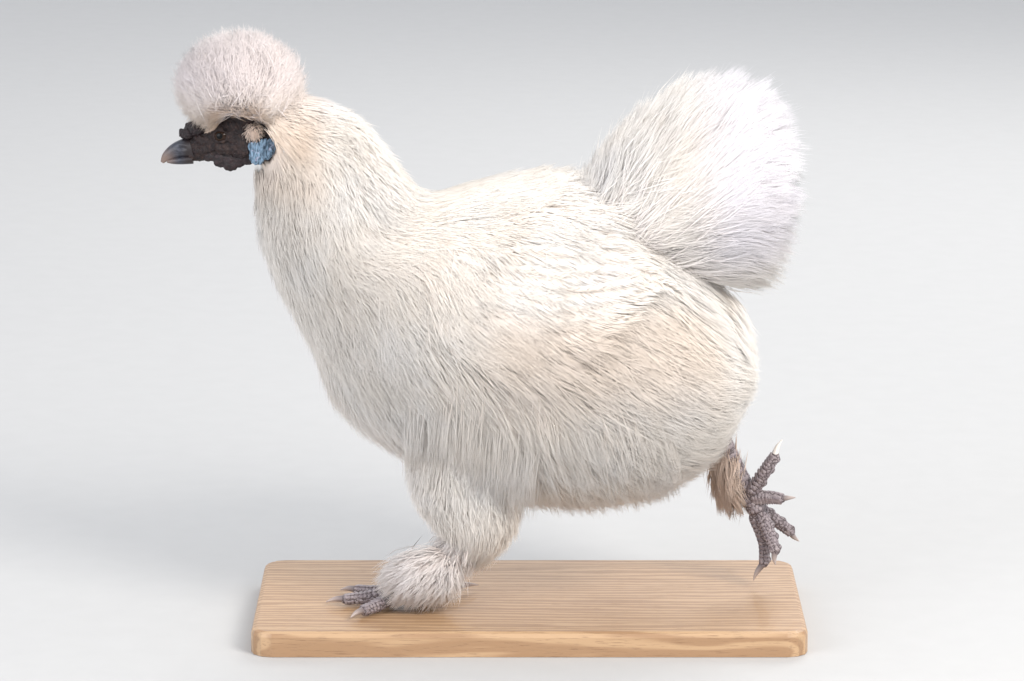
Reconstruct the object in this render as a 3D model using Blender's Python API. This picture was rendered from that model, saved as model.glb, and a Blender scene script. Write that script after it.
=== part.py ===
"""Silkie chicken in mid stride, a still life-size model on a flat display base.

Sizes are in millimetres. The bird faces -X, its left side is -Y, and its ground is Z 0 until
the last step, which sets every mesh on the base, turns it to metres and puts the origin under
the base. A form is a smooth tube of named stations; a node's core, its locks and the cutters
that part it from its neighbours all come from such forms, so that they share their surfaces.
"""

import math
import random

import bmesh
import bpy
import numpy as np
from mathutils import Matrix

MM = 0.001
GAP = 0.35  # between touching nodes
SEED = 11

# Display base
BASE_LENGTH, BASE_WIDTH, BASE_THICK = 310.0, 160.0, 14.0
BASE_CENTRE_X = 22.0
BASE_EDGE = 3.0

# Depth of the plumage over each core
NECK_COAT, TORSO_COAT, THIGH_COAT = 10.0, 13.0, 9.0
TAIL_COAT, CREST_COAT, FOOT_COAT = 24.0, 14.0, 5.0
CREST_CORE, CREST_CORE_RADII = (-136.5, 0, 286.0), (20.0, 18.0, 17.0)
SINK = 4.0  # how deep a lock's root sits in its core

# Stations of the forms: x, y, z, half height, half width, lean in degrees, push.
# Lean is the direction of the half height in the XZ plane, push how much an offset moves the end.
# Trunk, from the nape through the breast to the rump, measured to the tips of the plumage
NAPE = (-123, 0, 267, 26, 24, 66, 0)
HACKLE_TOP = (-102, 0, 249, 40, 33, 42, 0)
HACKLE = (-90, 0, 225, 46, 39, 33, 0)
NECK_BASE = (-75, 0, 202, 51, 47, 36, 0)
SHOULDERS = (-53, 0, 192, 68, 60, 45, 0)
BREAST = (-30, 0, 177, 88, 73, 51, 0)
WING_SEAT = (-3, 0, 165, 94, 81, 61, 0)
BELLY = (34, 0, 152, 95, 84, 75, 0)
FLANK = (70, 0, 147, 90, 80, 86, 0)
HIP = (103, 0, 142, 77, 68, 93, 0.15)
RUMP = (131, 0, 136, 52, 47, 96, 0.5)
VENT = (150, 0, 132, 14, 14, 96, 1)
TRUNK = (NAPE, HACKLE_TOP, HACKLE, NECK_BASE, SHOULDERS, BREAST, WING_SEAT, BELLY, FLANK, HIP, RUMP, VENT)
NECK_END = 3.65  # where the neck's core ends along the trunk, in stations
SKIRT_END = 4.75  # where the longest hackles end
SKIRT_LOW = 8.2  # how far under the trunk's outline the hackles lie on the torso

# Tail cushion and plumes, from the crease behind the saddle to the tips
TAIL = (
    (58, 0, 206, 30, 28, 133, 0),
    (84, 0, 222, 42, 38, 128, 0),
    (112, 0, 233, 57, 49, 117, 0),
    (138, 0, 239, 63, 50, 105, 0.2),
    (158, 0, 241, 56, 42, 98, 0.6),
    (170, 0, 240, 38, 28, 94, 0.8),
    (177, 0, 239, 10, 9, 92, 1),
)

# Head without plumage, from the back of the skull to the root of the bill
HEAD = (
    (-108, 0, 268, 10, 8, 97, 1),
    (-118, 0, 268, 14.5, 11.5, 96, 0),
    (-132, 0, 267, 16.5, 13.5, 97, 0),
    (-145, 0, 265, 15.5, 12.5, 102, 0),
    (-156, 0, 261.5, 11.5, 9.5, 106, 0),
    (-165, 0, 258.5, 8.2, 7.0, 106, 0),
    (-170, 0, 257.3, 6.8, 5.8, 104, -1),
)
# The two halves of the bill, from the face to the tip
BEAK_UPPER = (
    (-166.5, 0, 258.6, 6.6, 5.9, 104, 1),
    (-171.5, 0, 258.4, 5.4, 4.8, 108, 0),
    (-177, 0, 256.6, 4.2, 3.4, 116, 0),
    (-181.5, 0, 253.6, 2.6, 2.0, 130, 0),
    (-183.6, 0, 250.6, 1.0, 0.8, 150, -1),
)
BEAK_LOWER = (
    (-166.5, 0, 252.8, 3.0, 4.6, 98, 1),
    (-173, 0, 252.0, 2.5, 3.8, 98, 0),
    (-178, 0, 251.4, 1.7, 2.5, 98, 0),
    (-181, 0, 251.2, 0.8, 1.0, 98, -1),
)
NOSTRIL_CENTRE, NOSTRIL_RADII, NOSTRIL_TILT = (-172.0, 4.9, 259.6), (2.0, 1.3, 0.8), -12

EYE_CENTRE, EYE_RADIUS = (-149.5, 7.6, 267.0), 4.6
LID_RADIUS, LID_THICK = 4.9, 1.0
EYE_FACING = (-0.25, 1.0, 0.10)
EAR_CENTRE, EAR_RADIUS, EAR_RIM = (-131.0, 12.6, 268.0), 3.6, 1.1
CREST_CENTRE, CREST_RADII = (-139.5, 0, 294.5), (37.0, 35.0, 31.5)
# The crest parts over each eye, above this height
CREST_PARTING, BROW_FRONT, BROW_BACK, BROW_HEIGHT = 8.0, -164.0, -122.0, 277.0
EARLOBE_CENTRE, EARLOBE_RADII, EARLOBE_TILT = (-128.5, 13.4, 258.5), (5.4, 2.6, 7.4), 25
# Each wattle's folds: centre and radii
WATTLE_FOLDS = (
    ((-150.0, 6.6, 253.6), (4.6, 2.5, 5.0)),
    ((-145.0, 7.2, 252.4), (4.8, 2.7, 5.8)),
    ((-140.0, 7.4, 253.6), (4.2, 2.4, 4.8)),
)
# The walnut comb's bulbs on the brow: x, y, z, radius
COMB_BULBS = (
    (-158, 0, 272.0, 5.2),
    (-163, 3.6, 269.6, 4.4),
    (-163, -3.6, 269.6, 4.4),
    (-165.5, 0, 270.4, 4.6),
    (-168.5, 2.8, 267.2, 3.8),
    (-168.5, -2.8, 267.2, 3.8),
    (-170.8, 0, 267.0, 3.4),
)
COMB_GUARD = (-164.0, 0, 269.5, 13.4, 11.0, 10.6)  # a ball round all of them

# Hips, hocks and the joints where the toes spread, left then right
THIGH_LEFT = (
    (-6, -34, 112, 42, 30, 10, -0.3),
    (-12, -33, 88, 35, 27, 6, 0),
    (-13, -30, 66, 32, 24, 2, 0),
    (-11, -27, 50, 28, 22, -8, 0.2),
    (-12, -26, 36, 19, 16, -20, 0.6),
    (-13, -26, 28, 8, 7, -30, 1),
)
THIGH_RIGHT = (
    (66, 42, 112, 40, 32, 58, -0.3),
    (88, 44, 98, 38, 32, 62, 0),
    (106, 40, 88, 33, 29, 62, 0),
    (120, 32, 84, 25, 23, 56, 0.4),
    (130, 25, 81, 12, 11, 48, 1),
)
HOCK_LEFT, FOOT_LEFT = (-3, -26, 42), (-50, -25, 9.5)
HOCK_RIGHT, FOOT_RIGHT = (126, 21, 101), (152, 17, 48)
SHANK_RADII = (5.6, 5.0)
TOE_RADIUS, CLAW_RADIUS = 3.6, 2.1
SCUTE = 0.5  # how far the plates on shanks and toes stand up

# Each toe's points from its root on the foot to its last joint, then the tip of its claw
TOES = {
    "left": (
        ((-46, -19, 9), (-35, -10, 6.5), (-20, -2, 5.0), (-7, 8, 3.6)),
        ((-54, -20, 8), (-66, -12, 5.0), (-76, -5, 4.2), (-86, 1, 2.6)),
        ((-56, -25, 8), (-70, -25, 5.2), (-82, -25, 4.2), (-93, -25, 2.6)),
        ((-54, -30, 8), (-63, -40, 5.0), (-71, -49, 4.2), (-78, -58, 2.6)),
        ((-43, -19, 13), (-35, -11, 15), (-29, -6, 19), (-25, -2, 26)),
    ),
    "right": (
        ((151, 14, 54), (160, 10, 55), (166, 7, 55), (174, 5, 56)),
        ((156, 14, 42), (160, 8, 33), (163, 4, 25), (163, 2, 17)),
        ((152, 17, 41), (157, 16, 27), (157, 14, 15), (151, 13, 5)),
        ((154, 20, 46), (165, 25, 37), (173, 28, 30), (178, 29, 24)),
        ((150, 13, 58), (157, 8, 71), (162, 6, 80), (166, 5, 90)),
    ),
}
# Feathers on the outer side of each foot: centre and radii of their mass, and where they start
FOOT_TUFT = {
    "left": ((-40, -35, 16), (24, 15, 15), (0.35, 0.35, 1.0)),
    "right": ((140, 24, 62), (12, 11, 24), (-0.25, -0.2, 1.0)),
}

# The folded wing on the trunk: stations of its front and tip, and in degrees round the trunk,
# from its top line, where its upper and lower edges run at five places between them
WING_FRONT, WING_TIP = 4.0, 8.9
WING_UPPER = (-58, -42, -35, -37, -48)
WING_LOWER = (-68, -88, -88, -80, -56)
WING_THICK = 9.0  # from the torso's core to the wing's back
WING_SPAN = 150.0  # along the wing, and the degrees round the trunk for each millimetre across it
WING_DEGREES = 0.72
WING_APRON = 13.0
# Where the tail's core ends, on the way from its root to the plumes' tips
TAIL_CORE = (
    (52, 0, 196, 24, 24, 133, -1),
    (74, 0, 213, 31, 29, 130, 0),
    (96, 0, 223, 33, 30, 120, 0),
    (116, 0, 228, 26, 24, 108, 0.4),
    (128, 0, 230, 10, 9, 98, 1),
)


def unit(v):
    v = np.asarray(v, float)
    return v / max(np.linalg.norm(v), 1e-9)


def smooth_row(rows, t):
    """A Catmull-Rom reading of the stations at t."""
    last = len(rows) - 1
    t = min(max(t, 0.0), float(last))
    i = min(int(t), last - 1)
    f = t - i
    a, b, c, d = (rows[min(max(k, 0), last)] for k in (i - 1, i, i + 1, i + 2))
    return 0.5 * (2 * b + (c - a) * f + (2 * a - 5 * b + 4 * c - d) * f**2 + (3 * b - 3 * c + d - a) * f**3)


class Loft:
    """A tube whose sections stand across the XZ plane. Angle 0 is the half height's side."""

    def __init__(self, stations):
        self.rows = np.array(stations, float)
        self.last = len(stations) - 1

    def frame(self, t):
        x, y, z, high, wide, lean, push = smooth_row(self.rows, t)
        lean = math.radians(lean)
        up = np.array((math.cos(lean), 0.0, math.sin(lean)))
        ahead = np.array((math.sin(lean), 0.0, -math.cos(lean)))
        return np.array((x, y, z)), up, np.array((0.0, 1.0, 0.0)), ahead, high, wide, push

    def point(self, t, angle, off=0.0):
        centre, up, side, ahead, high, wide, push = self.frame(t)
        high, wide = max(high + off, 0.2), max(wide + off, 0.2)
        return centre + ahead * push * off + up * high * math.cos(angle) + side * wide * math.sin(angle)


class Tube:
    """A tube through any points, with a radius across and one along the reference direction."""

    def __init__(self, points, radii, reference):
        self.rows = np.array([(*p, *r) for p, r in zip(points, radii)], float)
        self.last = len(points) - 1
        self.reference = unit(reference)

    def point(self, t, angle, off=0.0):
        step = 0.02
        here = smooth_row(self.rows, t)
        before, after = smooth_row(self.rows, t - step), smooth_row(self.rows, t + step)
        ahead = unit(after[:3] - before[:3])
        side = unit(np.cross(self.reference, ahead))
        up = np.cross(ahead, side)
        end = off if t >= self.last - 1e-6 else -off if t <= 1e-6 else 0.0
        high, wide = max(here[3] + off, 0.1), max(here[4] + off, 0.1)
        return here[:3] + ahead * end + up * high * math.cos(angle) + side * wide * math.sin(angle)


class Ball:
    """An ellipsoid with its pole along `pole`. Stations run from 0 at the pole to 2 opposite it."""

    last = 2

    def __init__(self, centre, radii, pole=(0, 0, 1), turn=0.0):
        self.centre, self.radii = np.array(centre, float), np.array(radii, float)
        self.pole = unit(pole)
        self.side = unit(np.cross(self.pole, (0.0, 1.0, 0.0) if abs(self.pole[1]) < 0.9 else (1.0, 0.0, 0.0)))
        self.across = np.cross(self.pole, self.side)
        self.turn = math.radians(turn)

    def point(self, t, angle, off=0.0):
        down = math.pi * min(max(t / 2, 0.0), 1.0)
        ray = self.pole * math.cos(down) + math.sin(down) * (
            self.side * math.cos(angle) + self.across * math.sin(angle)
        )
        p = ray * (self.radii + off)
        c, s = math.cos(self.turn), math.sin(self.turn)
        return self.centre + np.array((p[0] * c + p[2] * s, p[1], p[2] * c - p[0] * s))


def outward(form, t, angle, off):
    """The surface's outward normal and its two directions of travel."""
    d = 0.02
    here = form.point(t, angle, off)
    t0, t1 = max(t - d, 0.0), min(t + d, form.last)
    along = (form.point(t1, angle, off) - form.point(t0, angle, off)) / (t1 - t0)
    around = (form.point(t, angle + d, off) - form.point(t, angle - d, off)) / (2 * d)
    normal = unit(np.cross(around, along))
    if np.dot(normal, form.point(t, angle, off + 1.0) - here) < 0:
        normal = -normal
    return here, normal, along, around


def rings_mesh(rings, other_fold=None):
    """Vertices and faces of a closed skin over rings of points; a ring of one point is a pole.
    `other_fold` says for (ring, place) where a four-sided patch folds along its other diagonal."""
    points, faces, starts = [], [], []
    for ring in rings:
        starts.append(len(points))
        points.extend(ring)
    for i in range(len(rings) - 1):
        a, b, m, n = starts[i], starts[i + 1], len(rings[i]), len(rings[i + 1])
        for j in range(max(m, n)):
            k = (j + 1) % max(m, n)
            if m == 1:
                faces.append((a, b + j, b + k))
            elif n == 1:
                faces.append((a + j, b, a + k))
            elif other_fold and other_fold(i, j):
                faces.append((a + j, b + j, a + k))
                faces.append((b + j, b + k, a + k))
            else:
                faces.append((a + j, b + j, b + k))
                faces.append((a + j, b + k, a + k))
    for ring, start, ends in ((rings[0], starts[0], 1), (rings[-1], starts[-1], -1)):
        if len(ring) == 3:
            faces.append((start + 2, start + 1, start)[::ends])
        elif len(ring) > 1:
            points.append(np.mean(ring, axis=0))
            hub = len(points) - 1
            for j in range(len(ring)):
                k = (j + 1) % len(ring)
                faces.append((hub, start + j, start + k)[::ends])
    return points, faces


def form_rings(form, start, end, count, sides, off=0.0, ridge=None):
    """Rings of a form from one station to another. `ridge` adds its own offset for (t, angle)."""
    rings = []
    for t in np.linspace(start, end, count):
        ring = []
        for j in range(sides):
            angle = 2 * math.pi * j / sides
            extra = ridge(t, angle) if ridge else 0.0
            ring.append(form.point(t, angle, off + extra))
        rings.append(ring)
    return rings


def solid(form, start=0.0, end=None, count=10, sides=14, off=0.0, ridge=None):
    return rings_mesh(form_rings(form, start, form.last if end is None else end, count, sides, off, ridge))


def ball(centre, radii, rows=7, sides=12, off=0.0, turn=0.0):
    form = Ball(centre, radii, turn=turn)
    rings = [[form.point(0.0, 0.0, off)]]
    for t in np.linspace(0.0, 2.0, rows + 1)[1:-1]:
        rings.append([form.point(t, 2 * math.pi * j / sides, off) for j in range(sides)])
    rings.append([form.point(2.0, 0.0, off)])
    return rings_mesh(rings)


def block(low, high):
    """A closed box between two corners."""
    (x0, y0, z0), (x1, y1, z1) = low, high
    ring = [(x0, y0), (x1, y0), (x1, y1), (x0, y1)]
    return rings_mesh([[np.array((x, y, z), float) for x, y in ring] for z in (z0, z1)])


# Sections of a row of locks: the share of the length on a lock's ridge and in the cleft beside it,
# and how many thicknesses each lies below the coat there. Root, widest place, tip, underside.
LOCK_SECTIONS = ((0.0, 0.0, 0.0, 0.0), (0.5, 0.42, 0.0, 0.7), (1.0, 0.64, 0.0, 0.9), (0.84, 0.58, 1.0, 1.5))
LOCK_BOW = 0.8  # below 1 a lock bends over, towards its tip
CLEAR = 0.8  # how far one row lies over the next at least, in lock thicknesses
VANE_SPOTS, VANE_WIDTHS = (0.0, 0.55, 0.93), (0.55, 1.0, 0.72)


def coat_top(rows, i, t, thick):
    """How far from the form the ridges of row i lie at a station; None ahead of its roots."""
    if i >= len(rows) or t <= rows[i][0]:
        return None
    root, tip, deep = rows[i]
    high = (deep - 1.0) * ((t - root) / (tip - root)) ** LOCK_BOW - deep
    below = coat_top(rows, i + 1, t, thick)
    return high if below is None else max(high, below + CLEAR * thick)


def shingled(form, rows, count, thick, rng, sweep=None, bare=None, lead=(), finish=()):
    """A coat over a form as one closed body: rows of `count` flat tapered locks that overlap like
    tiles, each row staggered to the one before. `rows` gives the stations of a row's roots and tips
    and how deep the roots sit under the form. `sweep` turns the locks round the form, `bare` says
    how far a place is smooth and low, from 0 to 1, and `lead` and `finish` hold the station and
    offset of plain rings at the ends."""
    step = 2 * math.pi / count

    def plain_rings(places):
        return [[form.point(t, j * step / 2, off) for j in range(2 * count)] for t, off in places]

    rings = plain_rings(lead)
    for i, (root, tip, deep) in enumerate(rows):
        pitch = (rows[i + 1][0] if i + 1 < len(rows) else tip) - root
        stretches = [rng.uniform(0.86, 1.08) for _ in range(count)]
        leans = [rng.uniform(-0.2, 0.2) * step for _ in range(count)]
        for section, (on_ridge, in_cleft, ridge_drop, cleft_drop) in enumerate(LOCK_SECTIONS):
            ring = []
            for j in range(2 * count):
                ridge = (i + j) % 2 == 0
                share = on_ridge * stretches[j // 2] if ridge else in_cleft
                angle = (j * step / 2 + math.pi) % (2 * math.pi) - math.pi
                turn = leans[j // 2] * share if ridge else 0.0
                if sweep:
                    turn += sweep(angle) * share * (tip - root)
                t = root + (tip - root) * share
                off = (deep - 1.0) * share**LOCK_BOW - deep - (ridge_drop if ridge else cleft_drop) * thick
                floor = coat_top(rows, i + 1, t, thick)
                if floor is not None and section > 0:
                    off = max(off, floor + thick * CLEAR * (0.5 if section == 3 else 1.0))
                if bare:
                    flat = bare(t, angle + turn)
                    t += (root + pitch * section / 4 - t) * flat
                    off += (-deep - 3.0 - off) * flat
                    turn *= 1.0 - flat
                ring.append(form.point(min(t, form.last), angle + turn, off))
            rings.append(ring)

    def other_fold(i, j):
        row, section = divmod(i - len(lead), len(LOCK_SECTIONS))
        return ((row + j) % 2 == 0) == (section % 2 == 0)

    return rings_mesh(rings + plain_rings(finish), other_fold)


def vane(place, root, tip, width, thick, lows):
    """A feather with a rounded tip, from one (u, v) place on the wing to another, at two offsets."""
    rings = []
    for i, (share, wide) in enumerate(zip(VANE_SPOTS, VANE_WIDTHS)):
        u, v = (a + (b - a) * share for a, b in zip(root, tip))
        off = lows[0] + (lows[1] - lows[0]) * share
        here = place(u, v, off)
        normal = unit(place(u, v, off + 1.0) - here)
        run = unit(place(tip[0], tip[1], lows[1]) - place(root[0], root[1], lows[0]))
        across = unit(np.cross(normal, run)) * width * wide / 2
        rings.append([here - across, here + normal * thick, here + across, here - normal * thick * 0.4])
    return rings_mesh(rings)


def make_object(name, parts):
    """One object of a mesh given as (points, faces)."""
    points, faces = parts
    mesh = bpy.data.meshes.new(name)
    mesh.from_pydata([tuple(p) for p in points], [], [tuple(int(i) for i in f) for f in faces])
    work = bmesh.new()
    work.from_mesh(mesh)
    bmesh.ops.recalc_face_normals(work, faces=work.faces)
    if work.calc_volume(signed=True) < 0:
        bmesh.ops.reverse_faces(work, faces=work.faces)
    work.to_mesh(mesh)
    work.free()
    obj = bpy.data.objects.new(name, mesh)
    bpy.context.scene.collection.objects.link(obj)
    return obj


def mesh_of(obj):
    """Takes an object away and gives its mesh back as (points, faces)."""
    points = [np.array(v.co) for v in obj.data.vertices]
    faces = [tuple(p.vertices) for p in obj.data.polygons]
    bpy.data.objects.remove(obj)
    return points, faces


def settle(obj):
    """Applies an object's modifiers, and keeps its largest closed surface."""
    bpy.context.view_layer.update()
    evaluated = obj.evaluated_get(bpy.context.evaluated_depsgraph_get())
    mesh = bpy.data.meshes.new_from_object(evaluated)
    obj.modifiers.clear()
    obj.data = mesh
    work = bmesh.new()
    work.from_mesh(mesh)
    bmesh.ops.triangulate(work, faces=work.faces)
    work.faces.ensure_lookup_table()
    seen, islands = set(), []
    for face in work.faces:
        if face.index in seen:
            continue
        island, queue = [], [face]
        seen.add(face.index)
        while queue:
            f = queue.pop()
            island.append(f)
            for edge in f.edges:
                for g in edge.link_faces:
                    if g.index not in seen:
                        seen.add(g.index)
                        queue.append(g)
        volume = sum(f.verts[0].co.dot(f.verts[1].co.cross(f.verts[2].co)) / 6 for f in island)
        islands.append((volume, island))
    islands.sort(key=lambda entry: entry[0])
    for _, island in islands[:-1]:
        bmesh.ops.delete(work, geom=island, context="FACES")
    loose = [v for v in work.verts if not v.link_faces]
    bmesh.ops.delete(work, geom=loose, context="VERTS")
    work.to_mesh(mesh)
    work.free()
    return obj


def united(name, parts):
    """One body of many closed meshes, by one Boolean union on a collection of them."""
    obj = make_object(name, parts[0])
    if len(parts) == 1:
        return obj
    group = bpy.data.collections.new(name + "_pieces")
    bpy.context.scene.collection.children.link(group)
    pieces = [make_object(f"{name}_piece_{i}", p) for i, p in enumerate(parts[1:])]
    for piece in pieces:
        bpy.context.scene.collection.objects.unlink(piece)
        group.objects.link(piece)
    union = obj.modifiers.new("union", "BOOLEAN")
    union.operation, union.solver = "UNION", "MANIFOLD"
    union.operand_type, union.collection = "COLLECTION", group
    bpy.context.view_layer.update()
    evaluated = obj.evaluated_get(bpy.context.evaluated_depsgraph_get())
    mesh = bpy.data.meshes.new_from_object(evaluated)
    obj.modifiers.clear()
    obj.data = mesh
    for piece in pieces:
        bpy.data.objects.remove(piece)
    bpy.data.collections.remove(group)
    return obj


def cut(obj, cutters):
    """Takes each closed mesh away from an object."""
    for i, parts in enumerate(cutters):
        tool = make_object("cutter", parts)
        trim = obj.modifiers.new("cut", "BOOLEAN")
        trim.operation, trim.solver, trim.object = "DIFFERENCE", "MANIFOLD", tool
        bpy.context.view_layer.update()
        evaluated = obj.evaluated_get(bpy.context.evaluated_depsgraph_get())
        mesh = bpy.data.meshes.new_from_object(evaluated)
        obj.modifiers.clear()
        obj.data = mesh
        bpy.data.objects.remove(tool)
    return obj


def node(name, colour, roughness, core, locks=(), core_cuts=(), lock_cuts=()):
    """A node: its core and its locks are cut clear of the neighbours, then fused."""
    body = cut(united(name, list(core)), core_cuts)
    if locks:
        coat = cut(united(name + "_coat", list(locks)), lock_cuts)
        fuse = body.modifiers.new("fuse", "BOOLEAN")
        fuse.operation, fuse.solver, fuse.object = "UNION", "MANIFOLD", coat
        settle(body)
        bpy.data.objects.remove(coat)
    else:
        settle(body)
    body.data.materials.clear()
    material = bpy.data.materials.new(name)
    material.use_nodes = True
    shader = material.node_tree.nodes["Principled BSDF"]
    shader.inputs["Base Color"].default_value = (*colour, 1.0)
    shader.inputs["Roughness"].default_value = roughness
    body.data.materials.append(material)
    body.data.transform(SETTING)
    return body


class Wing:
    """The folded left wing's place on the trunk: u runs from front to tip, v from top to bottom."""

    def __init__(self, trunk):
        self.trunk = trunk
        self.edges = np.array(list(zip(WING_UPPER, WING_LOWER)), float)

    def place(self, u, v, off=0.0, spread=0.0):
        """A point of the wing. `spread` widens the outline by about that many millimetres."""
        upper, lower = smooth_row(self.edges, u * (len(self.edges) - 1))
        t = WING_FRONT + (WING_TIP - WING_FRONT) * u
        angle = upper + (lower - upper) * v + spread * WING_DEGREES * (1 - 2 * v)
        return self.trunk.point(t, math.radians(angle), off)

    def slab(self, low, high, spread=0.0, start=0.0, count=8, crown=0.0):
        """The wing's outline between two offsets from the trunk, with its edges thinned by `crown`."""
        rings = []
        ends = spread / WING_SPAN
        for u in np.linspace(start - ends, 1 + ends, count):
            end = 1 - (2 * min(max(u, 0.02), 0.98) - 1) ** 6
            ring = []
            for v in (0.0, 0.35, 0.7, 1.0):
                top = high - crown * (1 - end * (1 - (2 * v - 1) ** 4))
                ring.append(self.place(u, v, top, spread))
            for v in (1.0, 0.7, 0.35, 0.0):
                ring.append(self.place(u, v, low, spread))
            rings.append(ring)
        return rings_mesh(rings)


def clean_scene():
    for obj in list(bpy.data.objects):
        bpy.data.objects.remove(obj)


TRUNK_FORM, TAIL_FORM, TAIL_CORE_FORM = Loft(TRUNK), Loft(TAIL), Loft(TAIL_CORE)
HEAD_FORM, UPPER_FORM, LOWER_FORM = Loft(HEAD), Loft(BEAK_UPPER), Loft(BEAK_LOWER)
CREST_FORM = Ball(CREST_CENTRE, CREST_RADII)
CREST_CORE_FORM = Ball(CREST_CORE, CREST_CORE_RADII)
THIGH_FORMS = {"left": Loft(THIGH_LEFT), "right": Loft(THIGH_RIGHT)}
WING = Wing(TRUNK_FORM)
SETTING = Matrix.Scale(MM, 4) @ Matrix.Translation((-BASE_CENTRE_X, 0.0, BASE_THICK))
SIDES = ("left", "right")

PLUMAGE, LILAC = (0.86, 0.82, 0.76), (0.78, 0.76, 0.80)
SKIN, SLATE, HORN = (0.045, 0.035, 0.04), (0.22, 0.19, 0.20), (0.14, 0.15, 0.18)


def on_side(place, side):
    """A place given for the bird's right, on either side."""
    x, y, z = place
    return (x, -y if side == "left" else y, z)


def flipped(parts):
    """The mirror image of a mesh, from the left side to the right."""
    points, faces = parts
    return [np.array((p[0], -p[1], p[2])) for p in points], faces


def ring_band(centre, radius, thick, facing, count=10, sides=4):
    """A closed ring of round section about a centre, turned to face one way."""
    facing = unit(facing)
    first = unit(np.cross(facing, (0.0, 0.0, 1.0)))
    second = np.cross(facing, first)
    points, faces = [], []
    for i in range(count):
        turn = 2 * math.pi * i / count
        ray = first * math.cos(turn) + second * math.sin(turn)
        for j in range(sides):
            a = 2 * math.pi * j / sides
            points.append(np.array(centre) + ray * (radius + thick * math.cos(a)) + facing * thick * math.sin(a))
    for i in range(count):
        for j in range(sides):
            a, b = i * sides + j, i * sides + (j + 1) % sides
            c, d = (a + sides) % (count * sides), (b + sides) % (count * sides)
            faces.append((a, b, c))
            faces.append((b, d, c))
    return points, faces


def scuted(form, count, sides, height, facing):
    """A toe or shank whose front carries a row of raised plates, each stepping down at its end."""
    spots = [0.0]
    for i in range(count):
        spots += [form.last * (i + 0.12) / count, form.last * (i + 0.97) / count]
    spots.append(form.last)
    rings = []
    for k, t in enumerate(spots):
        raised = height if k > 0 and k % 2 == 0 and k < len(spots) - 1 else 0.0
        ring = []
        for j in range(sides):
            angle = 2 * math.pi * j / sides
            ring.append(form.point(t, angle, raised * max(0.0, math.cos(angle - facing))))
        rings.append(ring)
    return rings_mesh(rings)


def shank_form(side):
    hock, foot = (HOCK_LEFT, FOOT_LEFT) if side == "left" else (HOCK_RIGHT, FOOT_RIGHT)
    hock, foot = np.array(hock, float), np.array(foot, float)
    run = foot - hock
    shares = (-0.08, 0.12, 0.5, 0.86, 1.04)
    thickness = (1.25, 1.1, 0.9, 1.0, 1.15)
    high, wide = SHANK_RADII
    return Tube([hock + run * s for s in shares], [(high * k, wide * k) for k in thickness], (0, 1, 0))


def toe_form(side, digit):
    points = TOES[side][digit][:3]
    r = TOE_RADIUS
    upper_side = (0, 0, 1) if side == "left" else (-1, 0, -0.3)
    return Tube(points, [(r * 1.1, r * 1.15), (r, r * 1.05), (r * 0.82, r * 0.85)], upper_side)


def claw_form(side, digit):
    root, tip = np.array(TOES[side][digit][2], float), np.array(TOES[side][digit][3], float)
    run = unit(tip - root)
    arch = (0, 0, 1) if side == "left" else (-1, 0, 0)
    middle = (root + tip) / 2 + np.array(arch) * 0.9
    r = CLAW_RADIUS
    return Tube([root - run * 1.5, middle, tip], [(r * 1.1, r), (r * 0.75, r * 0.7), (0.3, 0.3)], (0, 1, 0))


SHANK_FORMS = {side: shank_form(side) for side in SIDES}
GROUND = block((-300, -200, -60), (300, 200, GAP))  # what the planted foot is cut flat by


def neck_core(off=0.0):
    return solid(TRUNK_FORM, 0.0, NECK_END, 6, 12, off - NECK_COAT)


def torso_core(off=0.0):
    return solid(TRUNK_FORM, NECK_END + GAP / 30, None, 10, 14, off - TORSO_COAT)


def tail_core(off=0.0):
    return solid(TAIL_CORE_FORM, count=6, sides=10, off=off)


def thigh_core(side, off=0.0):
    return solid(THIGH_FORMS[side], count=6, sides=9, off=off - THIGH_COAT)


def crest_core(off=0.0):
    return ball(CREST_CORE, CREST_CORE_RADII, 6, 9, off=off)


def wing_core(off=0.0):
    low, high = -TORSO_COAT + GAP, -TORSO_COAT + WING_THICK
    return WING.slab(low - off, high + off, off, crown=0.0 if off else 4.0)


def wing_apron():
    """The room that the wing's vanes take over the plumage round it."""
    return WING.slab(-TORSO_COAT + WING_THICK - 3.0, 14.0, WING_APRON, start=0.2)


def rows_between(start, end, count, overlap, deep):
    """Evenly spaced rows of locks: stations of roots and tips, with the depth of the roots."""
    spacing = (end - start) / (count - 1 + overlap)
    return [(start + i * spacing, start + (i + overlap) * spacing, deep) for i in range(count)]


def neck_coat(rng):
    rows = rows_between(0.0, SKIRT_END, 6, 1.7, NECK_COAT)
    deeps = (4.0, 8.0, NECK_COAT, NECK_COAT, 9.2, SKIRT_LOW)
    rows = [(root, tip, deep) for (root, tip, _), deep in zip(rows, deeps)]
    end = ((NECK_END, -SKIRT_LOW - 0.5), (NECK_END, -NECK_COAT))
    return shingled(TRUNK_FORM, rows, 12, 2.2, rng, finish=end)


def torso_coat(rng):
    def sweep(angle):
        return 0.17 * math.sin(angle) * min(max(abs(angle) - 0.5, 0.0), 1.0)

    def under_wing(t, angle):
        u = (t - WING_FRONT) / (WING_TIP - WING_FRONT)
        if not -0.02 < u < 1.0:
            return 0.0
        upper, lower = smooth_row(WING.edges, u * (len(WING.edges) - 1))
        degrees = -abs(math.degrees(angle))
        outside = max(degrees - upper, lower - degrees, 0.0)
        return float(np.interp(outside, (2.0, 18.0), (1.0, 0.0)))

    rows = rows_between(SKIRT_END - 0.6, 10.7, 7, 1.8, TORSO_COAT)
    rows.append((10.2, 11.0, TORSO_COAT - 3.0))
    lead = ((NECK_END + GAP / 30, -TORSO_COAT),)
    return shingled(TRUNK_FORM, rows, 15, 3.4, rng, sweep, under_wing, lead)


def thigh_coat(side, rng):
    rows = rows_between(0.6, THIGH_FORMS[side].last, 5, 2.0, THIGH_COAT)
    return shingled(THIGH_FORMS[side], rows, 8, 2.8, rng)


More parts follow.
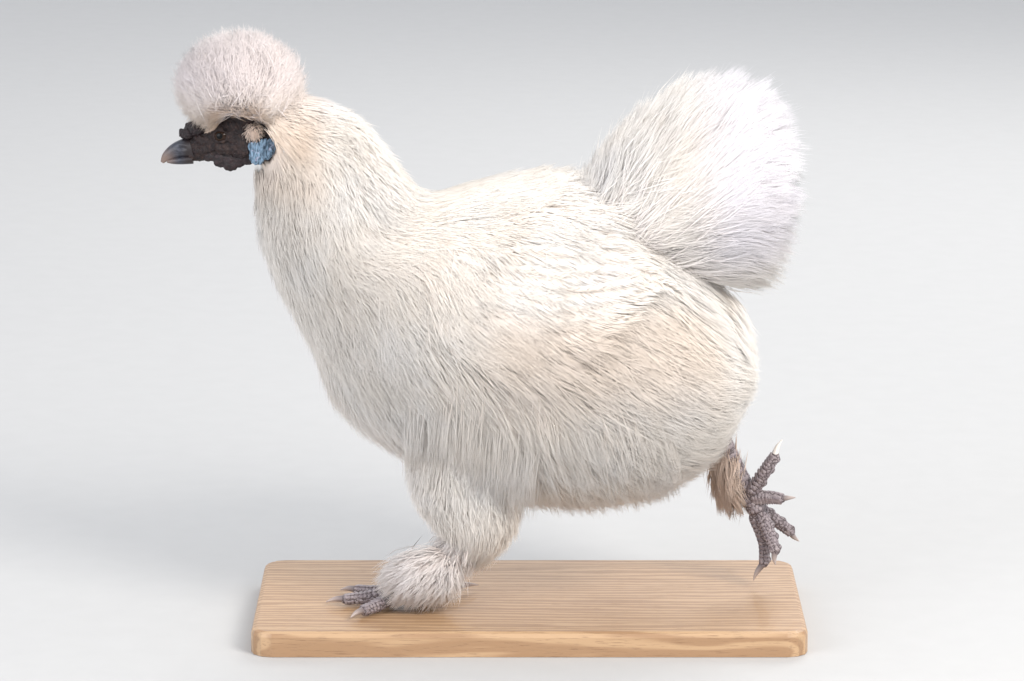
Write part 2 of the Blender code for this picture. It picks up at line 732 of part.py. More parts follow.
def tail_coat(rng):
    """Plumes that fan out from the root of the tail and bend over at its outline."""
    rows = rows_between(0.0, 5.8, 6, 2.0, TAIL_COAT)
    rows.append((5.2, 6.0, TAIL_COAT - 6.0))
    return shingled(TAIL_FORM, rows, 12, 4.2, rng)


def crest_coat(rng):
    """Locks that stand out of the skull all round and fall over one another."""
    rows = []
    for root, tip, deep in rows_between(0.01, 1.74, 7, 2.1, CREST_COAT):
        rows.append((root, tip, min(deep, 1.6 + 26.0 * root)))
    return shingled(CREST_FORM, rows, 11, 2.8, rng)


def wing_vanes():
    """Two tiers of coverts over the secondaries, and the secondaries over the primaries."""
    deck = -TORSO_COAT + WING_THICK
    vanes = []
    for i in range(3):
        root, tip = (0.55, 0.32 + 0.16 * i), (1.03 - 0.03 * i, 0.25 + 0.26 * i)
        vanes.append(vane(WING.place, root, tip, 16.0, 1.6, (deck - 3.5, deck - 1.0 + 0.3 * i)))
    for i in range(5):
        root, tip = (0.34, 0.20 + 0.15 * i), (0.95 - 0.06 * i, 0.22 + 0.19 * i)
        vanes.append(vane(WING.place, root, tip, 21.0, 1.6, (deck - 2.5, deck + 2.2 + 0.3 * i)))
    for start, reach, rise in ((0.30, 0.62, 5.0), (0.21, 0.46, 7.0)):
        for i in range(4):
            root, tip = (start, 0.18 + 0.2 * i), (reach, 0.22 + 0.2 * i)
            vanes.append(vane(WING.place, root, tip, 22.0, 2.2, (deck - 2.0, deck + rise + 0.3 * i)))
    return vanes


def foot_coat(side, rng):
    """Feathers that droop over the outer side of the foot."""
    centre, radii, pole = FOOT_TUFT[side]
    form = Ball(centre, radii, pole)
    return shingled(form, rows_between(0.06, 1.7, 4, 1.9, FOOT_COAT), 6, 1.8, rng)


def build_base():
    """A plank with round corners and a round upper edge."""
    rings = []
    half_long, half_wide, corner = BASE_LENGTH / 2, BASE_WIDTH / 2, 12.0
    steps = [(-BASE_THICK, 0.0), (-BASE_EDGE, 0.0)]
    for i in (1, 2):
        a = math.radians(45 * i)
        steps.append((-BASE_EDGE + BASE_EDGE * math.sin(a), BASE_EDGE * (1 - math.cos(a))))
    for z, inset in steps:
        ring = []
        for quarter in range(4):
            sx, sy = ((1, 1), (-1, 1), (-1, -1), (1, -1))[quarter]
            for i in range(4):
                a = math.radians(90 * quarter + 30 * i)
                r = corner - inset
                x = sx * (half_long - corner) + r * math.cos(a)
                y = sy * (half_wide - corner) + r * math.sin(a)
                ring.append(np.array((BASE_CENTRE_X + x, y, z)))
        rings.append(ring)
    node("stand_base", (0.50, 0.36, 0.22), 0.45, [rings_mesh(rings)])


def head_body(off=0.0):
    return solid(HEAD_FORM, count=9, sides=11, off=off)


def upper_bill(off=0.0):
    return solid(UPPER_FORM, count=7, sides=8, off=off)


def earlobe(side, off=0.0):
    return ball(on_side(EARLOBE_CENTRE, side), EARLOBE_RADII, 5, 9, off=off, turn=EARLOBE_TILT)


def wattle(side, off=0.0):
    return [ball(on_side(centre, side), radii, 4, 7, off=off) for centre, radii in WATTLE_FOLDS]


def comb_bulbs(off=0.0):
    return [ball((x, y, z), (r, r, r * 0.85), 4, 6, off=off) for x, y, z, r in COMB_BULBS]


def build_head():
    head_guard = head_body(GAP)
    lids, sockets, cups = [], [], []
    for side in SIDES:
        eye, ear = on_side(EYE_CENTRE, side), on_side(EAR_CENTRE, side)
        out = on_side(EYE_FACING, side)
        lids.append(ring_band(np.array(eye) + unit(out) * 2.2, LID_RADIUS - 0.4, LID_THICK, out))
        lids.append(ring_band(ear, EAR_RADIUS, EAR_RIM, out))
        sockets.append(ball(eye, (EYE_RADIUS,) * 3, 6, 10, off=GAP))
        cups.append(ball(np.array(ear) + unit(out) * 1.2, (EAR_RADIUS - 0.9,) * 3, 4, 7))
        node(f"eye_{side}", (0.02, 0.015, 0.012), 0.05, [ball(eye, (EYE_RADIUS,) * 3, 6, 10)])
        ear_guard = ball(ear, (EAR_RADIUS + EAR_RIM + GAP,) * 3, 6, 12)
        node(f"earlobe_{side}", (0.25, 0.55, 0.68), 0.5, [earlobe(side)], core_cuts=[head_guard, ear_guard])
        node(f"wattle_{side}", SKIN, 0.6, wattle(side), core_cuts=[head_guard])
    node("head", SKIN, 0.6, [head_body(), *lids], core_cuts=[*sockets, *cups])
    nostrils = [ball(on_side(NOSTRIL_CENTRE, s), NOSTRIL_RADII, 4, 6, turn=NOSTRIL_TILT) for s in SIDES]
    node("beak_upper", HORN, 0.4, [upper_bill()], core_cuts=[head_guard, *nostrils])
    lower = solid(LOWER_FORM, count=6, sides=8)
    node("beak_lower", HORN, 0.4, [lower], core_cuts=[head_guard, upper_bill(GAP)])
    node("comb", SKIN, 0.55, comb_bulbs(), core_cuts=[head_guard, upper_bill(GAP)])


def head_guards():
    """What the plumage of head and neck stays clear of."""
    guards = [head_body(GAP), ball(COMB_GUARD[:3], COMB_GUARD[3:], 5, 8)]
    for side in SIDES:
        eye, ear = on_side(EYE_CENTRE, side), on_side(EAR_CENTRE, side)
        out = unit(on_side(EYE_FACING, side))
        guards.append(ball(np.array(eye) + out, (LID_RADIUS + LID_THICK + 1.0,) * 3, 5, 8))
        guards.append(ball(ear, (EAR_RADIUS + EAR_RIM + 1.0,) * 3, 5, 8))
        guards.append(earlobe(side, GAP))
    return guards


def build_plumage():
    rng = random.Random(SEED)
    guards = head_guards()
    crest_room = ball(CREST_CENTRE, CREST_RADII, 10, 16, off=1.5)
    node("crest", LILAC, 0.9, [crest_core()], [crest_coat(rng)], guards, guards)

    wings = [wing_core(GAP), flipped(wing_core(GAP))]
    aprons = [wing_apron(), flipped(wing_apron())]
    neck_cuts = [*guards, crest_room, *wings, *aprons]
    node("neck", PLUMAGE, 0.9, [neck_coat(rng)], core_cuts=neck_cuts)

    shanks = [solid(SHANK_FORMS[side], count=6, sides=8, off=GAP + SCUTE) for side in SIDES]
    rooms = []
    for stump in (tail_core(GAP), thigh_core("left", GAP), thigh_core("right", GAP), *shanks):
        rooms.append(mesh_of(cut(make_object("room", stump), [torso_core()])))
    torso_cuts = [*wings, *aprons, *rooms]
    node("torso", PLUMAGE, 0.9, [torso_coat(rng)], core_cuts=torso_cuts)

    trunk_room = solid(TRUNK_FORM, 4.0, None, 20, 18, 2.2)
    tail_cuts = [trunk_room, *wings, *aprons]
    node("tail", LILAC, 0.9, [tail_core()], [tail_coat(rng)], [torso_core(GAP), *wings], tail_cuts)
    vanes = wing_vanes()
    node("wing_left", PLUMAGE, 0.9, [wing_core()], vanes)
    node("wing_right", PLUMAGE, 0.9, [flipped(wing_core())], [flipped(v) for v in vanes])
    for side, shank in zip(SIDES, shanks):
        locks, lock_cuts = [thigh_coat(side, rng)], [trunk_room, shank]
        node(f"thigh_{side}", PLUMAGE, 0.9, [thigh_core(side)], locks, [torso_core(GAP)], lock_cuts)


def build_feet():
    rng = random.Random(SEED + 1)
    for side in SIDES:
        floor = [GROUND] if side == "left" else []
        toes = [toe_form(side, digit) for digit in range(5)]
        claws = [claw_form(side, digit) for digit in range(5)]
        toe_guards = [solid(toe, count=6, sides=7, off=GAP + SCUTE) for toe in toes]
        leg_room = solid(THIGH_FORMS[side], count=11, sides=12, off=2.0)
        shank = scuted(SHANK_FORMS[side], 5, 8, SCUTE, math.pi / 2)
        shank_cuts = [thigh_core(side, GAP), torso_core(GAP), *toe_guards, *floor]
        lock_cuts = [leg_room, *toe_guards, *floor]
        node(f"shank_{side}", SLATE, 0.6, [shank], [foot_coat(side, rng)], shank_cuts, lock_cuts)
        for digit in range(5):
            cutters = [*toe_guards[:digit], *floor]
            toe = scuted(toes[digit], 3, 5, SCUTE, 0.0)
            node(f"toe_{side}_{digit + 1}", SLATE, 0.6, [toe], core_cuts=cutters)
            claw = solid(claws[digit], count=3, sides=5)
            cutters = [toe_guards[digit], *floor]
            node(f"claw_{side}_{digit + 1}", HORN, 0.35, [claw], core_cuts=cutters)


clean_scene()
build_base()
build_head()
build_plumage()
build_feet()
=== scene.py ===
"""Silkie chicken in mid stride on a flat display base, a still model at life size, dressed.

Forms are worked out in millimetres as the source of the solids has them: the bird faces -X, its
left side is -Y and its ground is Z 0. Every mesh is set on the base and turned to metres when it
is made. The plumage is thousands of fine tapered strands gathered in locks over one skin.
"""

import math

import bpy
import numpy as np
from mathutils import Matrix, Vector


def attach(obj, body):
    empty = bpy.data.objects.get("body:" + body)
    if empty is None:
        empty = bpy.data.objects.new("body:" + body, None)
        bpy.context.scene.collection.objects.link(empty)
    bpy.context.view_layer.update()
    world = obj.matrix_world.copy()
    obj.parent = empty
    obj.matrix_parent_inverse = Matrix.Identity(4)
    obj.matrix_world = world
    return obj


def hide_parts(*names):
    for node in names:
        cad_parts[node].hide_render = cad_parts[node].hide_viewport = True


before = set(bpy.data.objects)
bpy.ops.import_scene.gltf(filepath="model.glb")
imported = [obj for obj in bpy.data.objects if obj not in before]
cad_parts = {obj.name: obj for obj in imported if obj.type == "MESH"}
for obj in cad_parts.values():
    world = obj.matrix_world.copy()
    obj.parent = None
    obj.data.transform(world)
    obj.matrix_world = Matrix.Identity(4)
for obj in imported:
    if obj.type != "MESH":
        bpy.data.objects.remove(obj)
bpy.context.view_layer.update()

# How the bird is set on its base
SHIFT, MM = np.array((-22.0, 0.0, 14.0)), 0.001

# Depth of the plumage over the skin
NECK_COAT, TORSO_COAT, THIGH_COAT = 10.0, 13.0, 9.0
SIDES, HAND = ("left", "right"), {"left": -1.0, "right": 1.0}

# Stations of the forms: x, y, z, half height, half width, lean in degrees, push
TRUNK = (
    (-123, 0, 267, 26, 24, 66, 0),
    (-102, 0, 249, 40, 33, 42, 0),
    (-90, 0, 225, 46, 39, 33, 0),
    (-75, 0, 202, 51, 47, 36, 0),
    (-53, 0, 192, 68, 60, 45, 0),
    (-30, 0, 177, 88, 73, 51, 0),
    (-3, 0, 165, 94, 81, 61, 0),
    (34, 0, 152, 95, 84, 75, 0),
    (70, 0, 147, 90, 80, 86, 0),
    (103, 0, 142, 77, 68, 93, 0.15),
    (131, 0, 136, 52, 47, 96, 0.5),
    (150, 0, 132, 14, 14, 96, 1),
)
TAIL = (
    (58, 0, 206, 30, 28, 133, 0),
    (84, 0, 222, 42, 38, 128, 0),
    (112, 0, 233, 57, 49, 117, 0),
    (138, 0, 239, 63, 50, 105, 0.2),
    (158, 0, 241, 56, 42, 98, 0.6),
    (170, 0, 240, 38, 28, 94, 0.8),
    (177, 0, 239, 10, 9, 92, 1),
)
TAIL_CORE = (
    (52, 0, 196, 24, 24, 133, -1),
    (74, 0, 213, 31, 29, 130, 0),
    (96, 0, 223, 33, 30, 120, 0),
    (116, 0, 228, 26, 24, 108, 0.4),
    (128, 0, 230, 10, 9, 98, 1),
)
HEAD = (
    (-108, 0, 268, 10, 8, 97, 1),
    (-118, 0, 268, 14.5, 11.5, 96, 0),
    (-132, 0, 267, 16.5, 13.5, 97, 0),
    (-145, 0, 265, 15.5, 12.5, 102, 0),
    (-156, 0, 261.5, 11.5, 9.5, 106, 0),
    (-165, 0, 258.5, 8.2, 7.0, 106, 0),
    (-170, 0, 257.3, 6.8, 5.8, 104, -1),
)
BEAK_UPPER = (
    (-166.5, 0, 258.6, 6.6, 5.9, 104, 1),
    (-171.5, 0, 258.4, 5.4, 4.8, 108, 0),
    (-177, 0, 256.6, 4.2, 3.4, 116, 0),
    (-181.5, 0, 253.6, 2.6, 2.0, 130, 0),
    (-183.6, 0, 250.6, 1.0, 0.8, 150, -1),
)
BEAK_LOWER = (
    (-166.5, 0, 252.8, 3.0, 4.6, 98, 1),
    (-173, 0, 252.0, 2.5, 3.8, 98, 0),
    (-178, 0, 251.4, 1.7, 2.5, 98, 0),
    (-181, 0, 251.2, 0.8, 1.0, 98, -1),
)
THIGH_LEFT = (
    (-6, -34, 112, 42, 30, 10, -0.3),
    (-12, -33, 88, 35, 27, 6, 0),
    (-13, -30, 66, 32, 24, 2, 0),
    (-11, -27, 50, 28, 22, -8, 0.2),
    (-12, -26, 36, 19, 16, -20, 0.6),
    (-13, -26, 28, 8, 7, -30, 1),
)
THIGH_RIGHT = (
    (66, 42, 112, 40, 32, 58, -0.3),
    (88, 44, 98, 38, 32, 62, 0),
    (106, 40, 88, 33, 29, 62, 0),
    (120, 32, 84, 25, 23, 56, 0.4),
    (130, 25, 81, 12, 11, 48, 1),
)
NOSTRIL_CENTRE = (-172.0, 4.9, 259.6)
EYE_CENTRE, EYE_RADIUS, EYE_FACING = (-149.5, 7.6, 267.0), 4.6, (-0.25, 1.0, 0.10)
EYELID_OPENING = (58, 43)  # half its width and height, in degrees round the eye
LID_RADIUS, LID_THICKNESS, SOCKET_RADIUS = EYE_RADIUS + 0.35, 0.85, EYE_RADIUS + 0.12
EAR_CENTRE, EAR_RADIUS = (-131.0, 12.6, 268.0), 3.6
CREST_CORE, CREST_CORE_RADII = (-136.5, 0, 286.0), (20.0, 18.0, 17.0)
CREST_CENTRE, CREST_RADII = (-139.5, 0, 294.5), (37.0, 35.0, 31.5)
EARLOBE_TILT = 25
EARLOBE_LOBES = (
    ((-128.5, 13.4, 258.5), (5.4, 2.6, 7.4)),
    ((-130.5, 13.2, 261.5), (4.2, 2.3, 4.0)),
    ((-126.5, 14.0, 262.0), (3.4, 2.3, 5.0)),
    ((-122.8, 14.2, 260.5), (3.8, 2.3, 6.4)),
)
WATTLE_FOLDS = (
    ((-150.0, 6.6, 253.6), (4.6, 2.5, 5.0)),
    ((-145.0, 7.2, 252.4), (4.8, 2.7, 5.8)),
    ((-140.0, 7.4, 253.6), (4.2, 2.4, 4.8)),
    ((-155.0, 5.4, 254.8), (4.6, 2.2, 2.9)),
    ((-135.5, 8.2, 254.6), (4.6, 2.6, 4.2)),
)
# Cheeks, brow ridges and temples: centre, radii, turn
HEAD_LUMPS = (
    ((-147.0, 6.9, 260.0), (8.5, 4.4, 4.4), 8),
    ((-137.0, 9.0, 261.0), (7.5, 4.4, 7.0), 0),
    ((-158.0, 4.6, 263.8), (8.0, 3.8, 3.6), 15),
    ((-149.0, 7.4, 272.2), (8.0, 3.4, 2.6), 6),
    ((-141.0, 9.6, 269.0), (5.0, 3.0, 4.6), 0),
    ((-141.5, 7.4, 274.5), (7.6, 5.4, 5.6), 0),
)
GAPE = ((-169.0, 5.2, 255.2), (-160.0, 7.4, 255.6), (-154.5, 8.6, 257.6))
WARTS, SHANK_ROWS, TOE_ROWS = 700, 17, 11
COMB_BULBS = (
    (-158, 0, 272.0, 5.2),
    (-163, 3.6, 269.6, 4.4),
    (-163, -3.6, 269.6, 4.4),
    (-165.5, 0, 270.4, 4.6),
    (-168.5, 2.8, 267.2, 3.8),
    (-168.5, -2.8, 267.2, 3.8),
    (-170.8, 0, 267.0, 3.4),
)
HOCK = {"left": (-3, -26, 42), "right": (126, 21, 101)}
FOOT = {"left": (-50, -25, 9.5), "right": (152, 17, 48)}
SHANK_RADII, TOE_RADIUS, CLAW_RADIUS = (5.6, 5.0), 3.6, 2.1
TOES = {
    "left": (
        ((-46, -19, 9), (-35, -10, 6.5), (-20, -2, 5.0), (-7, 8, 3.6)),
        ((-54, -20, 8), (-66, -12, 5.0), (-76, -5, 4.2), (-86, 1, 2.6)),
        ((-56, -25, 8), (-70, -25, 5.2), (-82, -25, 4.2), (-93, -25, 2.6)),
        ((-54, -30, 8), (-63, -40, 5.0), (-71, -49, 4.2), (-78, -58, 2.6)),
        ((-43, -19, 13), (-35, -11, 15), (-29, -6, 19), (-25, -2, 26)),
    ),
    "right": (
        ((151, 14, 54), (160, 10, 55), (166, 7, 55), (174, 5, 56)),
        ((156, 14, 42), (160, 8, 33), (163, 4, 25), (163, 2, 17)),
        ((152, 17, 41), (157, 16, 27), (157, 14, 15), (151, 13, 5)),
        ((154, 20, 46), (165, 25, 37), (173, 28, 30), (178, 29, 24)),
        ((150, 13, 58), (157, 8, 71), (162, 6, 80), (166, 5, 90)),
    ),
}
FOOT_TUFT = {
    "left": ((-40, -35, 16), (24, 15, 15)),
    "right": ((140, 24, 62), (12, 11, 24)),
}
# The wing on the trunk: its first station and its run, and its two edges in degrees
WING_FRONT, WING_SPAN, WING_THICK = 4.0, 8.9 - 4.0, 9.0
WING_EDGES = np.array(((-58, -68), (-42, -88), (-35, -88), (-37, -80), (-48, -56)), float)
# Rows of wing feathers: root and tip along the wing, how many, how high, how wide
LONG_BARBS, COVERT_BARBS = 105, 95
WING_TIERS = ((0.36, 0.80, 8, 5.2, 18.0), (0.28, 0.66, 8, 6.0, 18.0), (0.18, 0.53, 7, 6.6, 17.0))
# The lamps: place, size, power and colour
LAMPS = (
    ("key", (1.15, -1.35, 1.35), 0.8, 41.0, (1.0, 0.955, 0.90)),
    ("fill", (-1.6, -1.4, 0.9), 1.4, 20.0, (0.93, 0.95, 1.0)),
    ("rim", (0.6, 1.7, 1.5), 1.0, 17.0, (1.0, 0.98, 0.95)),
)

# The outline, seen from the side, of the bare face that no plumage crosses
FACE_OPENING = (
    (-192, 269), (-168, 269), (-158, 268), (-153.5, 270.5), (-150, 275), (-146.5, 279.5),
    (-142.5, 281), (-136, 280), (-130, 277), (-122.5, 271), (-117.5, 263), (-122, 253.5),
    (-130, 248.5), (-137, 246), (-192, 246),
)


def unit(v):
    v = np.asarray(v, float)
    return v / np.maximum(np.linalg.norm(v, axis=-1, keepdims=True), 1e-9)


def on_side(place, side):
    """A place given for the bird's right, on either side."""
    return np.array(place, float) * (1.0, HAND[side], 1.0)


def read_rows(rows, t):
    """A Catmull-Rom reading of the stations at every t, run straight on past both ends."""
    rows, t = np.asarray(rows, float), np.asarray(t, float)
    last = len(rows) - 1
    inside = np.clip(t, 0, last)
    i = np.minimum(inside.astype(int), last - 1)
    f = (inside - i)[..., None]
    a, b, c, d = (rows[np.clip(i + k, 0, last)] for k in (-1, 0, 1, 2))
    curve = 2 * b + (c - a) * f + (2 * a - 5 * b + 4 * c - d) * f**2 + (3 * b - 3 * c + d - a) * f**3
    past = (t - inside)[..., None]
    return 0.5 * curve + past * np.where(past > 0, rows[-1] - rows[-2], rows[1] - rows[0])


def on_rim(middle, row, up, side, angle, off, least):
    """The place at an angle on the rim of a section, which `off` makes larger all round."""
    high, wide = (np.maximum(row[..., k] + off, least) for k in (3, 4))
    return middle + up * (high * np.cos(angle))[..., None] + side * (wide * np.sin(angle))[..., None]


class Loft:
    """A tube whose sections stand across the XZ plane. Angle 0 is the half height's side."""

    def __init__(self, stations):
        self.rows = np.array(stations, float)
        self.last = len(stations) - 1

    def points(self, t, angle, off=0.0):
        t, angle, off = np.broadcast_arrays(np.asarray(t, float), angle, off)
        row = read_rows(self.rows, t)
        lean = np.radians(row[..., 5])
        zero = np.zeros_like(lean)
        up = np.stack((np.cos(lean), zero, np.sin(lean)), -1)
        ahead = np.stack((np.sin(lean), zero, -np.cos(lean)), -1)
        middle = row[..., :3] + ahead * (row[..., 6] * off)[..., None]
        return on_rim(middle, row, up, np.array((0.0, 1.0, 0.0)), angle, off, 0.2)


class Tube:
    """A tube through any points, with a radius across and one along the reference direction."""

    def __init__(self, points, radii, reference):
        self.rows = np.array([(*p, *r) for p, r in zip(points, radii)], float)
        self.last = len(points) - 1
        self.reference = unit(reference)

    def frame(self, t):
        """The row at t, and the directions ahead, sideways and up."""
        t, step = np.asarray(t, float), 0.02
        ahead = unit((read_rows(self.rows, t + step) - read_rows(self.rows, t - step))[..., :3])
        side = unit(np.cross(self.reference, ahead))
        return read_rows(self.rows, t), ahead, side, np.cross(ahead, side)

    def points(self, t, angle, off=0.0):
        t, angle, off = np.broadcast_arrays(np.asarray(t, float), angle, off)
        row, ahead, side, up = self.frame(t)
        end = np.where(t >= self.last - 1e-6, off, np.where(t <= 1e-6, -off, 0.0))
        return on_rim(row[..., :3] + ahead * end[..., None], row, up, side, angle, off, 0.1)


class Ball:
    """An ellipsoid with its pole along `pole`. Stations run from 0 at the pole to 2 opposite it."""

    last = 2

    def __init__(self, centre, radii, pole=(0, 0, 1), turn=0.0):
        self.centre, self.radii = np.array(centre, float), np.array(radii, float)
        self.pole = unit(pole)
        self.side = unit(np.cross(self.pole, (0.0, 1.0, 0.0) if abs(self.pole[1]) < 0.9 else (1.0, 0.0, 0.0)))
        self.across = np.cross(self.pole, self.side)
        self.turn = math.radians(turn)

    def points(self, t, angle, off=0.0):
        t, angle, off = np.broadcast_arrays(np.asarray(t, float), angle, off)
        down = np.pi * np.clip(t / 2, 0.0, 1.2)
        ring = self.side * np.cos(angle)[..., None] + self.across * np.sin(angle)[..., None]
        out = self.pole * np.cos(down)[..., None] + ring * np.sin(down)[..., None]
        x, y, z = np.moveaxis(out * (self.radii + off[..., None]), -1, 0)
        c, s = math.cos(self.turn), math.sin(self.turn)
        return self.centre + np.stack((x * c + z * s, y, z * c - x * s), -1)


class Wing:
    """The folded wing on the trunk: u runs from front to tip, v from top to bottom."""

    def __init__(self, side):
        self.side = side

    def place(self, u, v, off=0.0):
        u, v, off = np.broadcast_arrays(np.asarray(u, float), v, off)
        edge = read_rows(WING_EDGES, np.clip(u, -0.1, 1.1) * (len(WING_EDGES) - 1))
        angle = edge[..., 0] + (edge[..., 1] - edge[..., 0]) * v
        place = TRUNK_FORM.points(WING_FRONT + WING_SPAN * u, np.radians(angle), off)
        return place * np.array((1.0, -HAND[self.side], 1.0))

    def points(self, u, angle, off=0.0):
        """The flesh under the feathers, a slab that thins to the tip."""
        round_off = np.sqrt(np.clip(1 - (2 * u - 1) ** 6, 0.02, 1))
        low, high = -TORSO_COAT - 2.0, -TORSO_COAT + 4.0 - 5.0 * u
        level = (low + high) / 2 + (high - low) / 2 * np.sin(angle) * round_off
        return self.place(u, 0.5 + 0.48 * np.cos(angle) * round_off, level + off)


def shank_form(side):
    hock, foot = np.array(HOCK[side], float), np.array(FOOT[side], float)
    shares, thickness = (-0.08, 0.12, 0.5, 0.86, 1.04), (1.25, 1.1, 0.9, 1.0, 1.15)
    high, wide = SHANK_RADII
    places = [hock + (foot - hock) * s for s in shares]
    return Tube(places, [(high * k, wide * k) for k in thickness], (0, 1, 0))


def toe_form(side, digit):
    r = TOE_RADIUS
    upper_side = (0, 0, 1) if side == "left" else (-1, 0, -0.3)
    return Tube(TOES[side][digit][:3], [(r * 1.1, r * 1.15), (r, r * 1.05), (r * 0.82, r * 0.85)], upper_side)


def claw_form(side, digit):
    root, tip = (np.array(p, float) for p in TOES[side][digit][2:])
    arch = np.array((0, 0, 1) if side == "left" else (-1, 0, 0))
    r = CLAW_RADIUS
    places = [root - unit(tip - root) * 1.5, (root + tip) / 2 + arch * 0.9, tip]
    return Tube(places, [(r * 1.1, r), (r * 0.75, r * 0.7), (0.25, 0.25)], (0, 1, 0))


TRUNK_FORM, TAIL_FORM, TAIL_CORE_FORM = Loft(TRUNK), Loft(TAIL), Loft(TAIL_CORE)
HEAD_FORM, UPPER_FORM, LOWER_FORM = Loft(HEAD), Loft(BEAK_UPPER), Loft(BEAK_LOWER)
THIGH_FORMS = {"left": Loft(THIGH_LEFT), "right": Loft(THIGH_RIGHT)}
SHANK_FORMS = {side: shank_form(side) for side in SIDES}
TOE_FORMS = {side: [toe_form(side, digit) for digit in range(5)] for side in SIDES}


def inside_outline(x, z, outline):
    """Whether each place lies inside a closed outline."""
    found = np.zeros(np.shape(x), bool)
    for (x0, z0), (x1, z1) in zip(outline, outline[1:] + outline[:1]):
        if z0 != z1:
            found ^= ((z0 > z) != (z1 > z)) & (x < (x1 - x0) * (z - z0) / (z1 - z0) + x0)
    return found


# Shader maths


class Wire:
    """A shader socket that takes its place in a sum."""

    def __init__(self, sheet, socket):
        self.sheet, self.socket = sheet, socket

    def sum(self, operation, *values):
        return self.sheet.node("ShaderNodeMath", {"operation": operation}, dict(enumerate(values)))

    def __add__(self, other):
        return self.sum("ADD", self, other)

    def __rsub__(self, other):
        return self.sum("SUBTRACT", other, self)

    def __mul__(self, other):
        return self.sum("MULTIPLY", self, other)

    def __abs__(self):
        return self.sum("ABSOLUTE", self)

    __radd__, __rmul__ = __add__, __mul__

    def fade(self, low, high):
        """0 below `low`, 1 above `high`, smooth between; the other way round where low is higher."""
        values = {"Value": self, "From Min": low, "From Max": high}
        return self.sheet.node("ShaderNodeMapRange", {"interpolation_type": "SMOOTHSTEP"}, values)


class Sheet:
    """A material under construction, on Object coordinates in millimetres."""

    def __init__(self, name):
        self.material = bpy.data.materials.new(name)
        self.material.use_nodes = True
        self.tree = self.material.node_tree
        self.tree.nodes.clear()
        self.here = self.vector("SCALE", {0: self.node("ShaderNodeTexCoord", output=3), "Scale": 1000.0})

    def node(self, kind, settings=None, values=None, output=0):
        made = self.tree.nodes.new(kind)
        for key, value in (settings or {}).items():
            setattr(made, key, value)
        for key, value in (values or {}).items():
            if isinstance(value, Wire):
                self.tree.links.new(value.socket, made.inputs[key])
            elif isinstance(value, tuple) and len(made.inputs[key].default_value) == 4:
                made.inputs[key].default_value = (*value, 1.0)
            else:
                made.inputs[key].default_value = value
        return Wire(self, made.outputs[output])

    def vector(self, operation, values):
        return self.node("ShaderNodeVectorMath", {"operation": operation}, values)

    def mix(self, factor, first, second):
        return self.node("ShaderNodeMix", {"data_type": "RGBA"}, {0: factor, 6: first, 7: second}, 2)

    def attribute(self, name):
        return self.node("ShaderNodeAttribute", {"attribute_name": name}, output=2)

    def axes(self):
        return [self.node("ShaderNodeSeparateXYZ", None, {0: self.here}, i) for i in range(3)]

    def stretched(self, scale):
        return self.vector("MULTIPLY", {0: self.here, 1: scale})

    def noise(self, scale, detail=3.0, roughness=0.55, stretch=None):
        values = {"Vector": self.stretched(stretch) if stretch else self.here}
        values.update({"Scale": scale, "Detail": detail, "Roughness": roughness})
        return self.node("ShaderNodeTexNoise", None, values)

    def cells(self, scale, feature="F1"):
        return self.node("ShaderNodeTexVoronoi", {"feature": feature}, {"Vector": self.here, "Scale": scale})

    def finish(self, colour, roughness, bump=None, **sockets):
        """The shader: colour, roughness, a bump's height, millimetres and strength, and any other
        sockets, with underscores for spaces."""
        values = {"Base Color": colour, "Roughness": roughness}
        values.update({name.replace("_", " "): value for name, value in sockets.items()})
        if bump:
            height, distance, strength = bump
            raised = {"Height": height, "Distance": distance * MM, "Strength": strength}
            values["Normal"] = self.node("ShaderNodeBump", None, raised)
        shader = self.node("ShaderNodeBsdfPrincipled", None, values)
        end = self.tree.nodes.new("ShaderNodeOutputMaterial")
        self.tree.links.new(shader.socket, end.inputs["Surface"])
        return self.material


def plumage_colour(sheet):
    """The plumage's colour over the bird, with its painted skylight and painted shade, for the strands and
    for the skin under them.
    """
    x, y, z = sheet.axes()
    cream = sheet.mix(sheet.noise(0.022, 2.0).fade(0.35, 0.7), (0.92, 0.865, 0.80), (0.94, 0.91, 0.875))
    # Painted cool skylight: a lilac tint over the tail and the top of the crest.
    tail = x.fade(80.0, 118.0) * z.fade(190.0, 230.0)
    crown = z.fade(284.0, 318.0) * x.fade(-92.0, -112.0)
    sky_lit = sheet.mix(tail + crown, cream, (0.89, 0.87, 0.935))
    # Painted shade under the crest: tan over the brow, and half as much over the head and down the nape.
    over_throat = z.fade(262.0, 276.0)
    brow = z.fade(301.0, 284.0) * over_throat * x.fade(-112.0, -126.0)
    nape = z.fade(236.0, 256.0) * x.fade(-104.0, -122.0) * 0.5
    crest_shade = brow + nape * (1.0 - brow)
    # Painted shade along the sides, below the wing's lower edge.
    wing_shade = abs(y).fade(25.0, 60.0) * z.fade(204.0, 180.0) * z.fade(112.0, 165.0) * x.fade(-45.0, 0.0)
    # Painted shade: the colour turns tan under the wing and under the crest.
    shaded = sheet.mix(wing_shade * 0.42 + crest_shade * 0.72, sky_lit, (0.76, 0.58, 0.44))
    # Painted deep shade: dark brown where the front of the crest hangs over the top of the face.
    rim = x.fade(-185.0, -173.0) * x.fade(-141.0, -152.0) * z.fade(307.0, 295.0) * over_throat
    return sheet.mix(rim * 0.75, shaded, (0.44, 0.29, 0.185))


def plumage_material(name, deep, tint=None, share=0.0):
    """Down that turns to the colour `deep` at its roots, a painted shade of the coat's depth, with a share of
    `tint` all over.
    """
    sheet = Sheet(name)
    colour = plumage_colour(sheet)
    if tint:
        colour = sheet.mix(share, colour, tint)
    # Painted shade: each strand darkens to `deep` towards its root, deep in the coat.
    root_shaded = sheet.mix(sheet.attribute("along").fade(0.75, 0.05), colour, deep)
    toned = sheet.mix(sheet.attribute("tone") * 0.15, root_shaded, (0.70, 0.60, 0.50))
    sheen = {"Sheen_Weight": 0.4, "Sheen_Roughness": 0.4, "Sheen_Tint": (1.0, 0.97, 0.93)}
    return sheet.finish(toned, 0.85, Specular_IOR_Level=0.12, **sheen)


